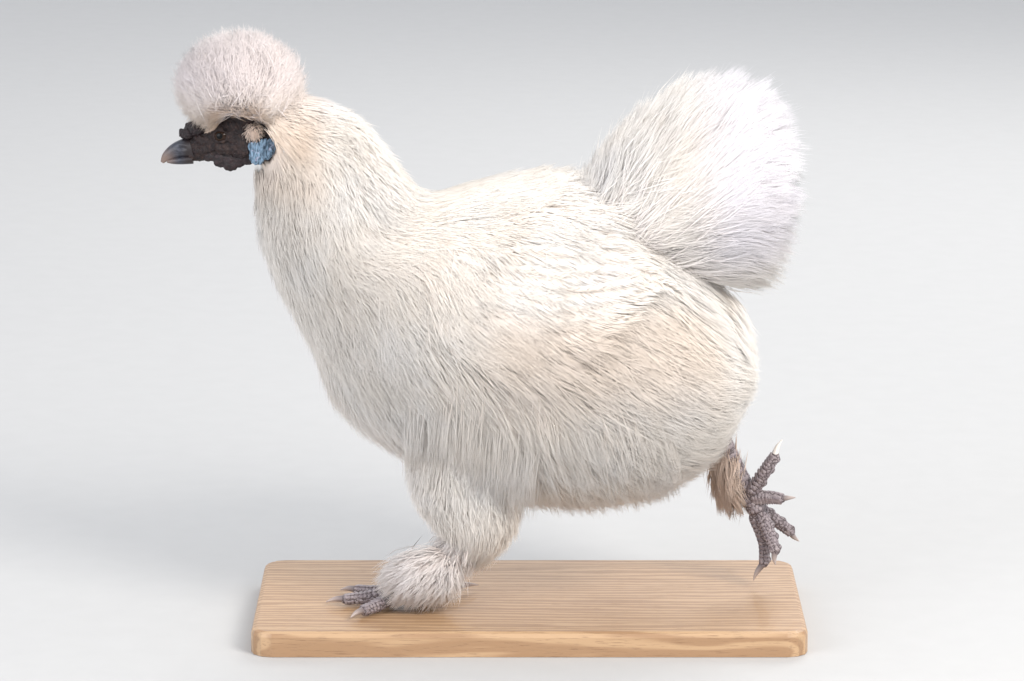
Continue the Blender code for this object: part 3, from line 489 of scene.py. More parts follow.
def skin_material():
    """Black wrinkled skin on the face, slate plates on the legs, and elsewhere the coat's colour darkened
    with painted shade.
    """
    sheet = Sheet("skin")
    face, leg = sheet.attribute("face"), sheet.attribute("leg")
    blotches, grain = sheet.noise(0.35, 4.0), sheet.cells(1.3)
    streaks = sheet.noise(0.9, 4.0, 0.65, (1.0, 1.0, 0.35))
    plates = sheet.cells(0.42, "DISTANCE_TO_EDGE")
    dark = sheet.mix(blotches.fade(0.35, 0.7), (0.010, 0.006, 0.007), (0.030, 0.015, 0.013))
    bare = sheet.mix(streaks.fade(0.52, 0.75) * 0.5, dark, (0.105, 0.062, 0.048))
    slate = sheet.mix(blotches.fade(0.3, 0.7), (0.20, 0.165, 0.18), (0.31, 0.265, 0.27))
    scaly = sheet.mix(plates.fade(0.16, 0.02), slate, (0.085, 0.066, 0.068))
    # Painted shade: under the plumage the skin takes the coat's colour, a quarter of the way to tan.
    coat = sheet.mix(0.25, plumage_colour(sheet), (0.70, 0.52, 0.40))
    colour = sheet.mix(leg, sheet.mix(face, coat, bare), scaly)
    height = grain * face * 0.8 + plates.fade(0.0, 0.25) * leg * 1.4 + streaks * 0.3
    roughness = 0.58 - leg * 0.06 + blotches * 0.1
    return sheet.finish(colour, roughness, (height, 0.35, 0.7), Specular_IOR_Level=0.4)


def scute_material():
    sheet = Sheet("scutes")
    mottle = sheet.noise(0.5, 4.0)
    colour = sheet.mix(mottle.fade(0.3, 0.72), (0.19, 0.155, 0.17), (0.36, 0.31, 0.315))
    return sheet.finish(colour, 0.42 + mottle * 0.2, (sheet.noise(2.6), 0.12, 0.5), Specular_IOR_Level=0.45)


def comb_material():
    sheet = Sheet("comb_flesh")
    lumps, pores = sheet.noise(0.45, 4.0), sheet.cells(1.5)
    colour = sheet.mix(lumps.fade(0.3, 0.7), (0.008, 0.005, 0.006), (0.024, 0.011, 0.013))
    return sheet.finish(colour, 0.45 + lumps * 0.15, (pores + lumps, 0.3, 0.6), Specular_IOR_Level=0.45)


def earlobe_material():
    sheet = Sheet("earlobe_flesh")
    streak = sheet.noise(0.8, 4.0, 0.6, (1.3, 0.6, 0.35))
    turquoise = sheet.mix(streak.fade(0.4, 0.62), (0.035, 0.070, 0.11), (0.20, 0.31, 0.43))
    colour = sheet.mix(sheet.noise(0.4).fade(0.55, 0.7) * 0.7, turquoise, (0.40, 0.41, 0.54))
    return sheet.finish(colour, 0.42, (streak, 0.35, 0.8), Specular_IOR_Level=0.5)


def bill_material():
    """Slate horn, browner low at the root, with a dark tip."""
    sheet = Sheet("bill_horn")
    x, _, z = sheet.axes()
    growth = sheet.noise(0.8, stretch=(0.5, 1.0, 1.0))
    slate = sheet.mix(growth.fade(0.35, 0.7), (0.022, 0.025, 0.036), (0.056, 0.061, 0.084))
    horned = sheet.mix(x.fade(-195.0, -205.0) * z.fade(276.0, 266.0), slate, (0.21, 0.15, 0.125))
    tipped = sheet.mix(x.fade(-197.0, -190.5), horned, (0.020, 0.013, 0.014))
    return sheet.finish(tipped, 0.30 + growth * 0.15, (growth, 0.15, 0.4))


def claw_material(name, pale, first, second):
    """Claw horn, from the first colour at the root to the second at the tip, or mottled if pale."""
    sheet = Sheet(name)
    fibre = sheet.noise(0.9)
    share = fibre if pale else sheet.attribute("along").fade(0.1, 0.9)
    return sheet.finish(sheet.mix(share, first, second), 0.34 + fibre * 0.12, (fibre, 0.1, 0.4))


def eye_material():
    """A black pupil and a dark brown iris under a wet coat."""
    sheet = Sheet("eye_gloss")
    ring = sheet.attribute("ring")
    iris = sheet.mix(sheet.noise(1.6, 2.0), (0.018, 0.009, 0.006), (0.040, 0.020, 0.011))
    colour = sheet.mix(ring.fade(0.42, 0.36), iris, (0.002, 0.002, 0.002))
    rimmed = sheet.mix(ring.fade(0.72, 0.86), colour, (0.010, 0.007, 0.007))
    return sheet.finish(rimmed, 0.12, Coat_Weight=0.15, Coat_Roughness=0.03, Specular_IOR_Level=0.12)


def base_material():
    """Oak with its grain along the board."""
    sheet = Sheet("base_oak")
    warp = sheet.noise(0.035, stretch=(0.12, 1.0, 1.0))
    aside = sheet.node("ShaderNodeCombineXYZ", None, {1: warp * 26.0})
    grain_at = sheet.vector("ADD", {0: sheet.stretched((0.05, 1.0, 1.0)), 1: aside})
    values = {"Vector": grain_at, "Scale": 0.055, "Distortion": 2.0, "Detail": 3.0, "Detail Scale": 1.6}
    wave = sheet.node("ShaderNodeTexWave", {"wave_type": "BANDS", "bands_direction": "Y"}, values, 1)
    pores = sheet.noise(0.9, 4.0, 0.6, (0.10, 1.6, 1.6))
    colour = sheet.mix(wave.fade(0.2, 0.9), (0.36, 0.215, 0.115), (0.50, 0.325, 0.185))
    flecked = sheet.mix(pores.fade(0.56, 0.68) * 0.55, colour, (0.20, 0.11, 0.055))
    return sheet.finish(flecked, 0.38 + pores * 0.2, (pores.fade(0.68, 0.5), 0.25, 0.35), Coat_Weight=0.15)


def floor_material():
    sheet = Sheet("studio_floor")
    return sheet.finish(sheet.mix(sheet.noise(0.05, 2.0), (0.50, 0.50, 0.495), (0.53, 0.53, 0.525)), 0.75)


def build_materials():
    return {
        # The first colour of each down is its painted shade at the roots.
        "down": plumage_material("down", (0.88, 0.77, 0.68)),
        "crest_down": plumage_material("crest_down", (0.88, 0.83, 0.86)),
        "tail_down": plumage_material("tail_down", (0.88, 0.82, 0.81)),
        "ear_down": plumage_material("ear_down", (0.84, 0.64, 0.53), (0.95, 0.77, 0.66), 0.9),
        "foot_down": plumage_material("foot_down", (0.66, 0.56, 0.52), (0.80, 0.72, 0.72), 0.45),
        "shank_down": plumage_material("shank_down", (0.48, 0.34, 0.26), (0.68, 0.52, 0.43), 0.85),
        "skin": skin_material(),
        "scutes": scute_material(),
        "comb": comb_material(),
        "earlobe": earlobe_material(),
        "bill": bill_material(),
        "claw": claw_material("claw_horn", False, (0.16, 0.13, 0.135), (0.40, 0.33, 0.30)),
        "pale_claw": claw_material("pale_claw_horn", True, (0.74, 0.68, 0.62), (0.86, 0.82, 0.77)),
        "eye": eye_material(),
        "base": base_material(),
        "floor": floor_material(),
    }


# Meshes


def linked(name, data):
    """An object in the scene, of a mesh, a lamp or a camera."""
    made = bpy.data.objects.new(name, data)
    bpy.context.scene.collection.objects.link(made)
    return made


def raw_object(name, points, faces):
    """An object of a mesh given in the bird's millimetres, with faces as an array of indices."""
    mesh = bpy.data.meshes.new(name)
    points, faces = (np.asarray(points, float) + SHIFT) * MM, np.asarray(faces, np.int32)
    count, corners = faces.shape
    mesh.vertices.add(len(points))
    mesh.vertices.foreach_set("co", points.astype(np.float32).ravel())
    mesh.loops.add(count * corners)
    mesh.loops.foreach_set("vertex_index", faces.ravel())
    mesh.polygons.add(count)
    mesh.polygons.foreach_set("loop_start", np.arange(count, dtype=np.int32) * corners)
    mesh.update(calc_edges=True)
    mesh.polygons.foreach_set("use_smooth", np.ones(count, bool))
    return linked(name, mesh)


def read_out(items, field, width=3, kind=np.float32):
    found = np.zeros(len(items) * width, kind)
    items.foreach_get(field, found)
    return found.reshape(-1, width)


def read_mesh(obj):
    """An object's points in the bird's millimetres, its triangles and its normals."""
    mesh = obj.data
    mesh.calc_loop_triangles()
    points = read_out(mesh.vertices, "co").astype(float) / MM - SHIFT
    faces = read_out(mesh.loop_triangles, "vertices", kind=np.int32)
    return points, faces, read_out(mesh.vertices, "normal").astype(float)


def write_values(mesh, name, values, kind="FLOAT"):
    """Puts numbers, or vectors, on the points of a mesh."""
    layer = mesh.attributes.new(name, kind, "POINT")
    layer.data.foreach_set("value" if kind == "FLOAT" else "vector", np.asarray(values, np.float32).ravel())


def plain(obj):
    """Turns an object's modifiers into its mesh."""
    bpy.context.view_layer.update()
    mesh = bpy.data.meshes.new_from_object(obj.evaluated_get(bpy.context.evaluated_depsgraph_get()))
    obj.modifiers.clear()
    obj.data = mesh
    return obj


def piece(obj, slot, nodes, material):
    """Gives a finished object its material and its place in the frame."""
    obj.data.materials.clear()
    obj.data.materials.append(material)
    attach(obj, "root")
    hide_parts(*nodes)
    return obj


def between_rings(first, second):
    """Two triangles for each step round two closed rings of indices, or stacks of rings."""
    first_next, second_next = np.roll(first, -1, -1), np.roll(second, -1, -1)
    halves = ((first, second, second_next), (first, second_next, first_next))
    return np.concatenate([np.stack(half, -1).reshape(-1, 3) for half in halves])


def tube_mesh(form, start=0.0, end=None, count=24, sides=24, off=0.0):
    """Closed rings of a form, as points and triangles, with a pole at each end."""
    end = form.last if end is None else end
    t, a = np.meshgrid(np.linspace(start, end, count), np.arange(sides) * 2 * np.pi / sides, indexing="ij")
    rings = form.points(t, a, off)
    points = np.concatenate((rings.reshape(-1, 3), rings[0].mean(0)[None], rings[-1].mean(0)[None]))
    grid = np.arange(count * sides).reshape(count, sides)
    first, last = grid[0], grid[-1]
    pole = np.full(sides, count * sides)
    cap = np.stack((pole, first, np.roll(first, -1)), -1)
    lid = np.stack((pole + 1, np.roll(last, -1), last), -1)
    return points, np.concatenate((between_rings(grid[:-1], grid[1:]), cap, lid))


def ball_mesh(centre, radii, off=0.0, turn=0.0, pole=(0, 0, 1), count=16, sides=24):
    return tube_mesh(Ball(centre, radii, pole, turn), 0.02, 1.98, count, sides, off)


def plane_of(facing):
    """Two directions across the one given."""
    first = unit(np.cross(facing, (0.0, 0.0, 1.0)))
    return first, np.cross(facing, first)


def circle(centre, radius, facing, count=28):
    first, second = plane_of(facing)
    turn = (np.arange(count) * 2 * np.pi / count)[:, None]
    return centre + radius * (first * np.cos(turn) + second * np.sin(turn))


def band_mesh(spots, thick, facing, sides=10):
    """A closed ring of round section through a loop of points."""
    ray = unit(spots - spots.mean(0))[:, None]
    turn = (np.arange(sides) * 2 * np.pi / sides)[None, :, None]
    rings = spots[:, None] + thick * (ray * np.cos(turn) + facing * np.sin(turn))
    grid = np.arange(len(spots) * sides).reshape(-1, sides)
    return rings.reshape(-1, 3), between_rings(grid, np.roll(grid, -1, 0))


def facing_out(points, faces):
    """A closed mesh with its faces turned outwards."""
    a, b, c = (points[faces[:, k]] for k in range(3))
    volume = np.einsum("ij,ij->i", a, np.cross(b, c)).sum()
    return (points, faces) if volume > 0 else (points, faces[:, ::-1])


def joined(parts):
    """Many meshes as one."""
    points, faces, start = [], [], 0
    for part in parts:
        p, f = facing_out(*part)
        points.append(p)
        faces.append(f + start)
        start += len(p)
    return np.concatenate(points), np.concatenate(faces)


def melted(parts, voxel, smooth):
    """One continuous surface over many closed meshes: its points, triangles and normals."""
    obj = raw_object("melted", *joined(parts))
    melt = obj.modifiers.new("melt", "REMESH")
    melt.mode, melt.voxel_size = "VOXEL", voxel * MM
    soften = obj.modifiers.new("soften", "SMOOTH")
    soften.factor, soften.iterations = 0.5, smooth
    made = read_mesh(plain(obj))
    bpy.data.objects.remove(obj)
    return made


def ripple(points, scale, seed):
    """A smooth random field over places in space, between about -1 and 1."""
    rng = np.random.default_rng(seed)
    total, size = np.zeros(len(points)), 0.0
    for octave in range(3):
        weight = 0.6**octave
        for _ in range(4):
            way = unit(rng.normal(size=3)) * 2 * np.pi / (scale * 0.55**octave)
            total += weight * np.sin(points @ way + rng.uniform(0, 2 * np.pi))
        size += weight * 2.0
    return total / size


def ridged(points, normals, height):
    """A mesh's points, each pushed out by a height of its own."""
    return points + normals * height[:, None]


# Plumage

SPOTS = np.array((0.0, 0.46, 1.0))  # a strand's root, bend and tip along its length
PATCH = 0.003  # a strand's size on the baking map
OUTWARD_SHARE = 0.90  # how far a strand's shading leans to the form's own, for a soft coat
ROOT_LEVEL = -2.0  # where the surface is measured that the locks are spread over
STEPS = (0.7548776662, 0.5698402909)  # an even spread of places over a square
LEAST_PACE = 4.0  # near a pole, where the surface runs out
RISE = 0.72  # how early a lying strand comes up to its level
PAST_END = 3.0  # how far a lying strand may run past the form's last station
GROUND = 0.6  # how low a strand may hang
TORSO_ISLE = (0.0, 0.4, 0.6, 1.0)  # the trunk's part of the baking map


def pace(form, t, a):
    """How many millimetres the surface runs for one station and for one radian, and their area."""
    d = 0.01
    along = (form.points(t + d, a, ROOT_LEVEL) - form.points(t - d, a, ROOT_LEVEL)) / (2 * d)
    around = (form.points(t, a + d, ROOT_LEVEL) - form.points(t, a - d, ROOT_LEVEL)) / (2 * d)
    runs = [np.maximum(np.linalg.norm(way, axis=-1), LEAST_PACE) for way in (along, around)]
    return (*runs, np.linalg.norm(np.cross(along, around), axis=-1))


def over(value, t, a):
    return value(t, a) if callable(value) else np.full(np.shape(t), float(value))


def strand_mesh(path, width, out):
    """Closed strands, thickest at their bend and pointed at both ends, with their shading directions."""
    run = unit(path[:, 2] - path[:, 0])
    side = unit(np.cross(run, out[:, 1]))
    lift = np.cross(side, run)
    half = (width / 2)[:, None]
    corners, shades = [path[:, 0]], [out[:, 0]]
    for right, high in ((-1.0, -0.5), (1.0, -0.5), (0.0, 1.0)):
        ray = side * right + lift * high
        corners.append(path[:, 1] + ray * half)
        shades.append(unit(ray) * (1 - OUTWARD_SHARE) + out[:, 1] * OUTWARD_SHARE)
    corners.append(path[:, 2])
    shades.append(out[:, 2])
    points, shading = np.stack(corners, 1), unit(np.stack(shades, 1))
    faces = [(0, 1 + j, 1 + (j + 1) % 3) for j in range(3)] + [(1 + j, 4, 1 + (j + 1) % 3) for j in range(3)]
    index = (np.arange(len(path)) * 5)[:, None, None] + np.array(faces)[None]
    return points.reshape(-1, 3), index.reshape(-1, 3), shading.reshape(-1, 3)


def coat(name, grown, slot, nodes, material):
    """A piece of plumage out of what has grown."""
    path, width, out, tone, root_uv = (np.concatenate(parts) for parts in zip(*grown))
    points, faces, shading = strand_mesh(path, width, out)
    along, across = SPOTS[[0, 1, 1, 1, 2]], np.array((0.5, 0.0, 1.0, 0.5, 0.5))
    uv = (root_uv[:, None, :] + np.stack((across, along), -1)[None] * PATCH).reshape(-1, 2)
    obj = raw_object(name, points, faces)
    write_values(obj.data, "along", np.tile(along, len(path)))
    write_values(obj.data, "tone", np.repeat(tone, 5))
    obj.data.normals_split_custom_set_from_vertices(shading)
    layer = obj.data.uv_layers.new(name="OFBake")
    layer.data.foreach_set("uv", uv[faces.ravel()].astype(np.float32).ravel())
    return piece(obj, slot, nodes, material)


def grow(
    form, span, isle, seed, per_cm2, length, width, lock, spread, gather, swirl, relief, stray,
    top=0.0, deep=0.0, crowd=None, keep=None, fall=0.0, stray_rise=2.5, stray_lean=0.16, wave=0.7,
    aim=None, bow=2.0, droop=0.0, clear=None,
):
    """Locks of strands over a form, as paths, widths, outward directions, tones and map places.

    The roots stand within `span` and the ends rise `top` over the form. `lock` strands stand within
    `spread` of each other and draw together by `gather`. `crowd` thickens the coat and `keep`
    chooses its places. Strands start `deep` under the form and lie along it, turned by `fall` and
    `swirl`, unless `aim` gives their direction and `bow` their arch. `relief` lets whole locks rise
    or sink, and a share of the strands is `stray`. `clear` tells which strands may stay.
    """
    rng = np.random.default_rng(seed)
    run = span[1] - span[0]

    def scattered(count, first_u, first_v):
        index = np.arange(count)
        t = span[0] + run * ((first_u + index * STEPS[0]) % 1)
        a = (2 * np.pi * ((first_v + index * STEPS[1]) % 1) + np.pi) % (2 * np.pi) - np.pi
        area = pace(form, t, a)[2]
        return t, a, area * crowd(t, a) if crowd else area

    most = np.percentile(scattered(4000, 0.5, 0.5)[2], 99.5)
    tries = int(per_cm2 / 100 / lock * most * run * 2 * np.pi)
    t, a, area = scattered(tries, 0.25, 0.75)
    kept = rng.random(tries) * most < area
    t, a = t[kept], a[kept]
    if keep:
        chosen = keep(t, a, form.points(t, a, 0.0))
        t, a = t[chosen], a[chosen]

    # Each lock
    locks = len(t)
    along, around, _ = pace(form, t, a)
    here = form.points(t, a, 0.0)
    long = over(length, t, a) * (1 + 0.14 * rng.normal(size=locks).clip(-1.6, 1.6))
    swirl = swirl * ripple(here, 34.0, seed + 1)
    lean = over(fall, t, a) + swirl + 0.10 * rng.normal(size=locks)
    lift = over(top, t, a) + relief * ripple(here, 15.0, seed + 2) + 0.8 * rng.normal(size=locks)
    tone = 0.5 + 0.35 * ripple(here, 22.0, seed + 3) + 0.18 * rng.normal(size=locks)

    # Each strand
    which = np.repeat(np.arange(locks), lock)
    n = len(which)
    radius, turn = spread * np.sqrt(rng.random(n)), 2 * np.pi * rng.random(n)
    strays = rng.random(n) < stray
    reach = long[which] * rng.uniform(0.82, 1.1, n)
    tilt = lean[which] + 0.05 * rng.normal(size=n) + np.where(strays, 0.35 * rng.normal(size=n), 0.0)
    rise = lift[which] + 0.5 * rng.normal(size=n) + np.where(strays, rng.uniform(0.0, stray_rise, n), 0.0)
    s = SPOTS[None, :]
    wave = wave * np.sin(2 * np.pi * (1.2 * s + rng.random(n)[:, None])) * s
    shrink = 1 - np.where(strays, 0.0, gather)[:, None] * s
    dx, dy = (radius * np.cos(turn))[:, None], (radius * np.sin(turn))[:, None]
    if aim:
        reach = reach[:, None]
        ahead = unit(form.points(t + 0.02, a, 0.0) - form.points(t - 0.02, a, 0.0))
        away = unit(form.points(t, a, 3.0) - form.points(t, a, -3.0))
        across = np.cross(away, ahead)
        way = unit(aim(here, ahead, away)) + (swirl + 0.1 * rng.normal(size=locks))[:, None] * across
        loose = np.where(strays, stray_lean, 0.06)[:, None] * rng.normal(size=(n, 3))
        way = unit(way[which] + loose)[:, None]
        tip = form.points(t[which], a[which], rise)[:, None]
        away, across = away[which][:, None], across[which][:, None]
        aside = (ahead[which] * dx + across[:, 0] * dy)[:, None] * shrink[..., None]
        path = tip - way * (reach * (1 - s))[..., None] + aside + (bow * 4 * s * (1 - s))[..., None] * away
        path = path + across * wave[..., None]
        out = np.repeat(away, 3, 1)
    else:
        under, tilt = over(deep, t, a)[which], tilt[:, None]
        reach = np.minimum(reach, np.maximum((form.last - t) * along, 0.0)[which] + PAST_END)[:, None]
        st = t[which][:, None] + (reach * s * np.cos(tilt) + dx * shrink) / along[which][:, None]
        sa = a[which][:, None] + (reach * s * np.sin(tilt) + dy * shrink + wave) / around[which][:, None]
        st = np.minimum(st, form.last + 0.02)
        path = form.points(st, sa, -under[:, None] + (under + rise)[:, None] * s**RISE)
        path[..., 2] -= over(droop, t, a)[which][:, None] * s**2
        out = unit(form.points(st, sa, 3.0) - form.points(st, sa, -3.0))
    thick = width * rng.uniform(0.75, 1.2, n)
    left, low, right, high = isle
    map_u, map_v = (a / (2 * np.pi)) % 1, np.clip(t / form.last, 0, 1)
    uv = np.stack((left + (right - left) * map_u, low + (high - low) * map_v), -1)
    made = [path, thick, out, tone[which].clip(0, 1), uv[which]]
    if clear:
        chosen = clear(path)
        made = [values[chosen] for values in made]
    return made


def off_face(path):
    """Keeps the strands that don't cross the bare face."""
    steps = [path[:, :-1] * (1 - f) + path[:, 1:] * f for f in (0.0, 0.25, 0.5, 0.75)]
    tried = np.concatenate((*steps, path[:, -1:]), 1)
    tried = tried + np.random.default_rng(27).normal(scale=0.7, size=(len(path), 1, 3))
    return ~inside_outline(tried[..., 0], tried[..., 2], FACE_OPENING).any(axis=1)


def above_ground(path):
    return path[..., 2].min(axis=1) > GROUND


def toward(direction, outward):
    """An aim in one direction, leaning out from the form."""
    return lambda here, ahead, away: np.array(direction) + outward * away


def halves(grown):
    """What has grown, parted into the left and the right side by the roots."""
    left = grown[0][:, 0, 1] < 0
    return [g[left] for g in grown], [g[~left] for g in grown]


def wing_share(t):
    return (t - WING_FRONT) / WING_SPAN


def under_wing(t, a, inset=0.0):
    """How far a place on the trunk lies under a wing, 0 to 1, with its edges drawn in by degrees."""
    u = wing_share(t)
    edges = read_rows(WING_EDGES, np.clip(u, 0, 1) * 4)
    degrees = -np.abs(np.degrees(a))
    above, below = degrees - edges[..., 0] + inset, edges[..., 1] + inset - degrees
    outside = np.maximum(np.maximum(above, below), 0.0)
    return np.where((u > 0.0) & (u < 0.97), np.interp(outside, (0.0, 9.0), (1.0, 0.0)), 0.0)


def grow_crest():
    """A globe of fine plumes that rise from the brow, and hang over at the front and at the nape."""
    brow = np.array((-138.0, 0.0, 266.0))

    def aim(here, ahead, away):
        ray = unit(here - brow)
        flat = ray - away * (ray * away).sum(-1, keepdims=True)
        x, z = here[:, 0], here[:, 2]
        ends = np.clip((np.abs(x + 137.0) - 15.0) / 12.0, 0, 1) * np.clip((288.0 - z) / 18.0, 0, 1)
        hang = np.stack((np.sign(x + 138.0) * 0.55, 0 * x, 0 * x - 1.0), -1) * ends[:, None]
        return flat * (0.7 * (1 - ends))[:, None] + 0.85 * away + hang * 0.9

    return grow(
        Ball(CREST_CENTRE, CREST_RADII), (0.0, 1.9), (0.0, 0.0, 0.3, 0.25), seed=21, per_cm2=235, length=18.0,
        width=0.33, lock=5, spread=1.8, gather=0.25, swirl=0.22, relief=0.6, stray=0.22, stray_rise=3.4,
        stray_lean=0.25, top=-0.8, wave=0.5, aim=aim, bow=0.8, clear=off_face,
    )


def grow_ear_tuft(side):
    hand = HAND[side]
    form = Ball(on_side(EAR_CENTRE, side) + (0.0, -0.6 * hand, 1.0), (4.9, 3.6, 5.4), (0, hand, 0))
    return grow(
        form, (0.0, 1.3), (0.3, 0.0, 0.34, 0.1), seed=25, per_cm2=2600, length=4.6, width=0.28, lock=1,
        spread=0.3, gather=0.3, swirl=0.1, relief=0.2, stray=0.06, stray_rise=0.5, top=0.7, wave=0.1,
        aim=toward((0.1, 0.35 * hand, -0.35), 0.75), bow=0.5,
    )


def grow_hackle():
    return grow(
        TRUNK_FORM, (-0.15, 4.3), (0.35, 0.0, 0.65, 0.4), seed=31, per_cm2=112,
        length=lambda t, a: np.interp(t, (0.0, 0.8, 2.0, 4.0), (15, 21, 30, 40)), width=0.41, lock=11,
        spread=3.6, gather=0.45, swirl=0.2, relief=1.1, stray=0.1,
        deep=lambda t, a: np.interp(t, (0, 1, 2), (5, 8, 10)), fall=lambda t, a: 0.10 * np.sin(a),
        crowd=lambda t, a: np.interp(t, (0.0, 1.2, 3.0), (1.7, 1.15, 0.9)), clear=off_face,
    )


def grow_body():
    """The coat of the trunk, which runs down over the planted leg and droops along the hem."""

    def fall(t, a):
        x, _, z = np.moveaxis(TRUNK_FORM.points(t, a, 0.0), -1, 0)
        leg = np.exp(-(((x + 10.0) / 44.0) ** 2)) * np.clip((150.0 - z) / 45.0, 0, 1) * (a < 0)
        slope = np.interp(np.abs(a), (0.3, 1.1, 2.6, 3.1), (0.1, 0.42, 0.5, 0.3))
        return np.sin(a) * slope + np.clip(leg, 0, 1) * np.sign(a) * 0.95

    def hem(t, a):
        along = np.interp(t, (4.5, 6.0, 8.5, 9.8), (0.2, 1.0, 1.0, 0.0))
        return np.interp(np.abs(a), (1.9, 2.7), (0.0, 5.0)) * along

    def top(t, a):
        low_rear = np.interp(np.abs(a), (1.7, 2.6), (0.0, 1.0)) * np.interp(t, (7.4, 8.4), (0.0, 1.0))
        return -0.4 - 4.0 * under_wing(t, a) - 5.0 * low_rear

    return grow(
        TRUNK_FORM, (3.7, 10.7), TORSO_ISLE, seed=41, per_cm2=70,
        length=lambda t, a: np.interp(np.abs(a), (0.0, 1.2, 2.4, 3.1), (34, 38, 42, 42)), width=0.46, lock=13,
        spread=4.8, gather=0.62, swirl=0.28, relief=2.4, stray=0.1, top=top, deep=TORSO_COAT, fall=fall,
        wave=1.0, droop=hem, clear=above_ground,
        keep=lambda t, a, here: (under_wing(t, a, 6.0) < 0.93) | (t > WING_FRONT + 0.56 * WING_SPAN),
    )


def grow_drapes():
    """Long wisps over the top of the planted leg, and along the hem and the rear of the body."""

    def on_leg(t, a, here):
        x, y, z = here.T
        return (np.abs(x + 11.0) < 36.0) & (y < -16.0) & (y > -70.0) & (z < 116.0) & (z > 74.0)

    leg = grow(
        TRUNK_FORM, (3.6, 8.0), TORSO_ISLE, seed=43, per_cm2=95, length=40.0, width=0.42, lock=12,
        spread=4.4, gather=0.6, swirl=0.24, relief=1.6, stray=0.1, top=0.4, wave=1.0,
        aim=toward((-0.10, 0.0, -1.0), 0.10), bow=1.0, keep=on_leg, clear=above_ground,
    )
    leg[0][..., 2] -= 17.0 * SPOTS**1.3
    hem = grow(
        TRUNK_FORM, (5.4, 9.4), TORSO_ISLE, seed=45, per_cm2=42, length=28.0, width=0.38, lock=12, spread=4.0,
        gather=0.75, swirl=0.3, relief=2.4, stray=0.14, stray_rise=2.0, top=-1.0, wave=1.1,
        aim=toward((0.42, 0.0, -0.85), 0.08), bow=1.0, clear=above_ground,
        keep=lambda t, a, here: (np.abs(a) > 2.0) & (here[:, 0] > 12.0) & (here[:, 0] < 108.0),
    )
    hem[0][..., 2] -= 8.0 * SPOTS
    vent = grow(
        Ball((126.0, 0.0, 135.0), (25.0, 36.0, 40.0)), (0.0, 2.0), TORSO_ISLE, seed=49, per_cm2=95,
        length=26.0, width=0.42, lock=12, spread=4.0, gather=0.55, swirl=0.3, relief=1.6, stray=0.1,
        top=0.4, wave=0.8, aim=toward((0.30, 0.0, -0.80), 0.45), bow=1.0,
        keep=lambda t, a, here: here[:, 0] > 143.0,
    )
    return leg, [np.concatenate(pair) for pair in zip(hem, vent)]


def grow_tail():
    """A fan of soft plumes that opens from the root, and drops over at the rear."""
    root = np.array((64.0, 0.0, 204.0))

    def aim(here, ahead, away):
        fan = (here - root) * np.array((1.0, 0.25, 1.0))
        share = np.clip((np.linalg.norm(fan, axis=-1, keepdims=True) - 18.0) / 40.0, 0.0, 1.0)
        rear = np.clip((away[:, :1] - 0.45) / 0.4, 0.0, 1.0)
        drop = rear * np.stack((0 * here[:, 0], 0.012 * here[:, 1], 0 * here[:, 0] - 1.0), -1)
        spread = unit(fan) * share + ahead * (1.15 - share) + 0.30 * away
        return spread + 0.85 * drop + np.array((0.10, 0.0, 0.0))

    return grow(
        TAIL_FORM, (0.15, 5.98), (0.62, 0.45, 1.0, 1.0), seed=51, per_cm2=94,
        length=lambda t, a: np.interp(t, (0.0, 2.5, 6.0), (34, 48, 50)), width=0.40, lock=15, spread=5.6,
        gather=0.68, swirl=0.42, relief=3.2, stray=0.07, stray_rise=5.0, stray_lean=0.08,
        top=lambda t, a: np.interp(np.abs(a), (0.0, 0.9), (2.0, -1.0)) * np.interp(t, (1.0, 3.0), (0.0, 1.0)),
        wave=1.4, aim=aim, bow=3.0,
    )


def limb_isle(side, low, high):
    return (0.7, low, 0.85, high) if side == "left" else (0.85, low, 1.0, high)


def grow_thigh(side):
    form, density = THIGH_FORMS[side], 100 if side == "left" else 62
    return grow(
        form, (0.0, form.last - 0.15), limb_isle(side, 0.0, 0.2), seed=61, per_cm2=density, length=26.0,
        width=0.42, lock=12, spread=3.8, gather=0.55, swirl=0.28, relief=1.4, stray=0.1, top=-0.2,
        deep=THIGH_COAT, clear=above_ground,
    )


def grow_foot(side):
    """Fluff on the foot, with a cuff at the planted ankle, and on the front of the raised shank."""

    def puff(start, centre, radii, **habit):
        def aim(here, ahead, away):
            return unit(here - np.array(start)) + 0.35 * away + np.array((0.0, 0.0, -0.25))

        return grow(
            Ball(centre, radii), (0.0, 1.95), limb_isle(side, 0.22, 0.4), width=0.38, lock=11, spread=2.9,
            gather=0.7, swirl=0.35, relief=1.8, stray_rise=4.0, wave=0.6, aim=aim, bow=1.5,
            clear=above_ground, **habit,
        )

    tuft = dict(seed=71, per_cm2=165, length=20.0, top=1.4)
    if side == "left":
        cuff = dict(seed=73, per_cm2=150, length=17.0)
        return [
            puff((-22.0, -27.0, 30.0), *FOOT_TUFT[side], stray=0.18, **tuft),
            puff((-12.0, -27.0, 50.0), (-20.0, -27.0, 30.0), (14.0, 12.0, 15.0), stray=0.18, **cuff),
        ]

    def in_front(t, a, here):
        return (here[:, 0] < 126.0 + (101.0 - here[:, 2]) * 0.49) & (here[:, 2] < 80.0)

    return [puff((128.0, 22.0, 88.0), *FOOT_TUFT[side], stray=0.05, keep=in_front, **tuft)]


def grow_wing_down(side):
    """Soft coverts over the shoulder and the front of the wing."""

    def on_shoulder(t, a, here):
        fading = 0.70 - 0.30 * ((np.arange(len(t)) * 0.618) % 1)
        return (under_wing(t, a) > 0.15) & (wing_share(t) < fading) & (a * HAND[side] > 0)

    return grow(
        TRUNK_FORM, (3.9, 7.8), TORSO_ISLE, seed=47, per_cm2=90, length=30.0, width=0.42, lock=12, spread=4.2,
        gather=0.55, swirl=0.2, relief=1.2, stray=0.06, top=2.6, deep=4.0, fall=lambda t, a: 0.28 * np.sin(a),
        keep=on_shoulder,
    )


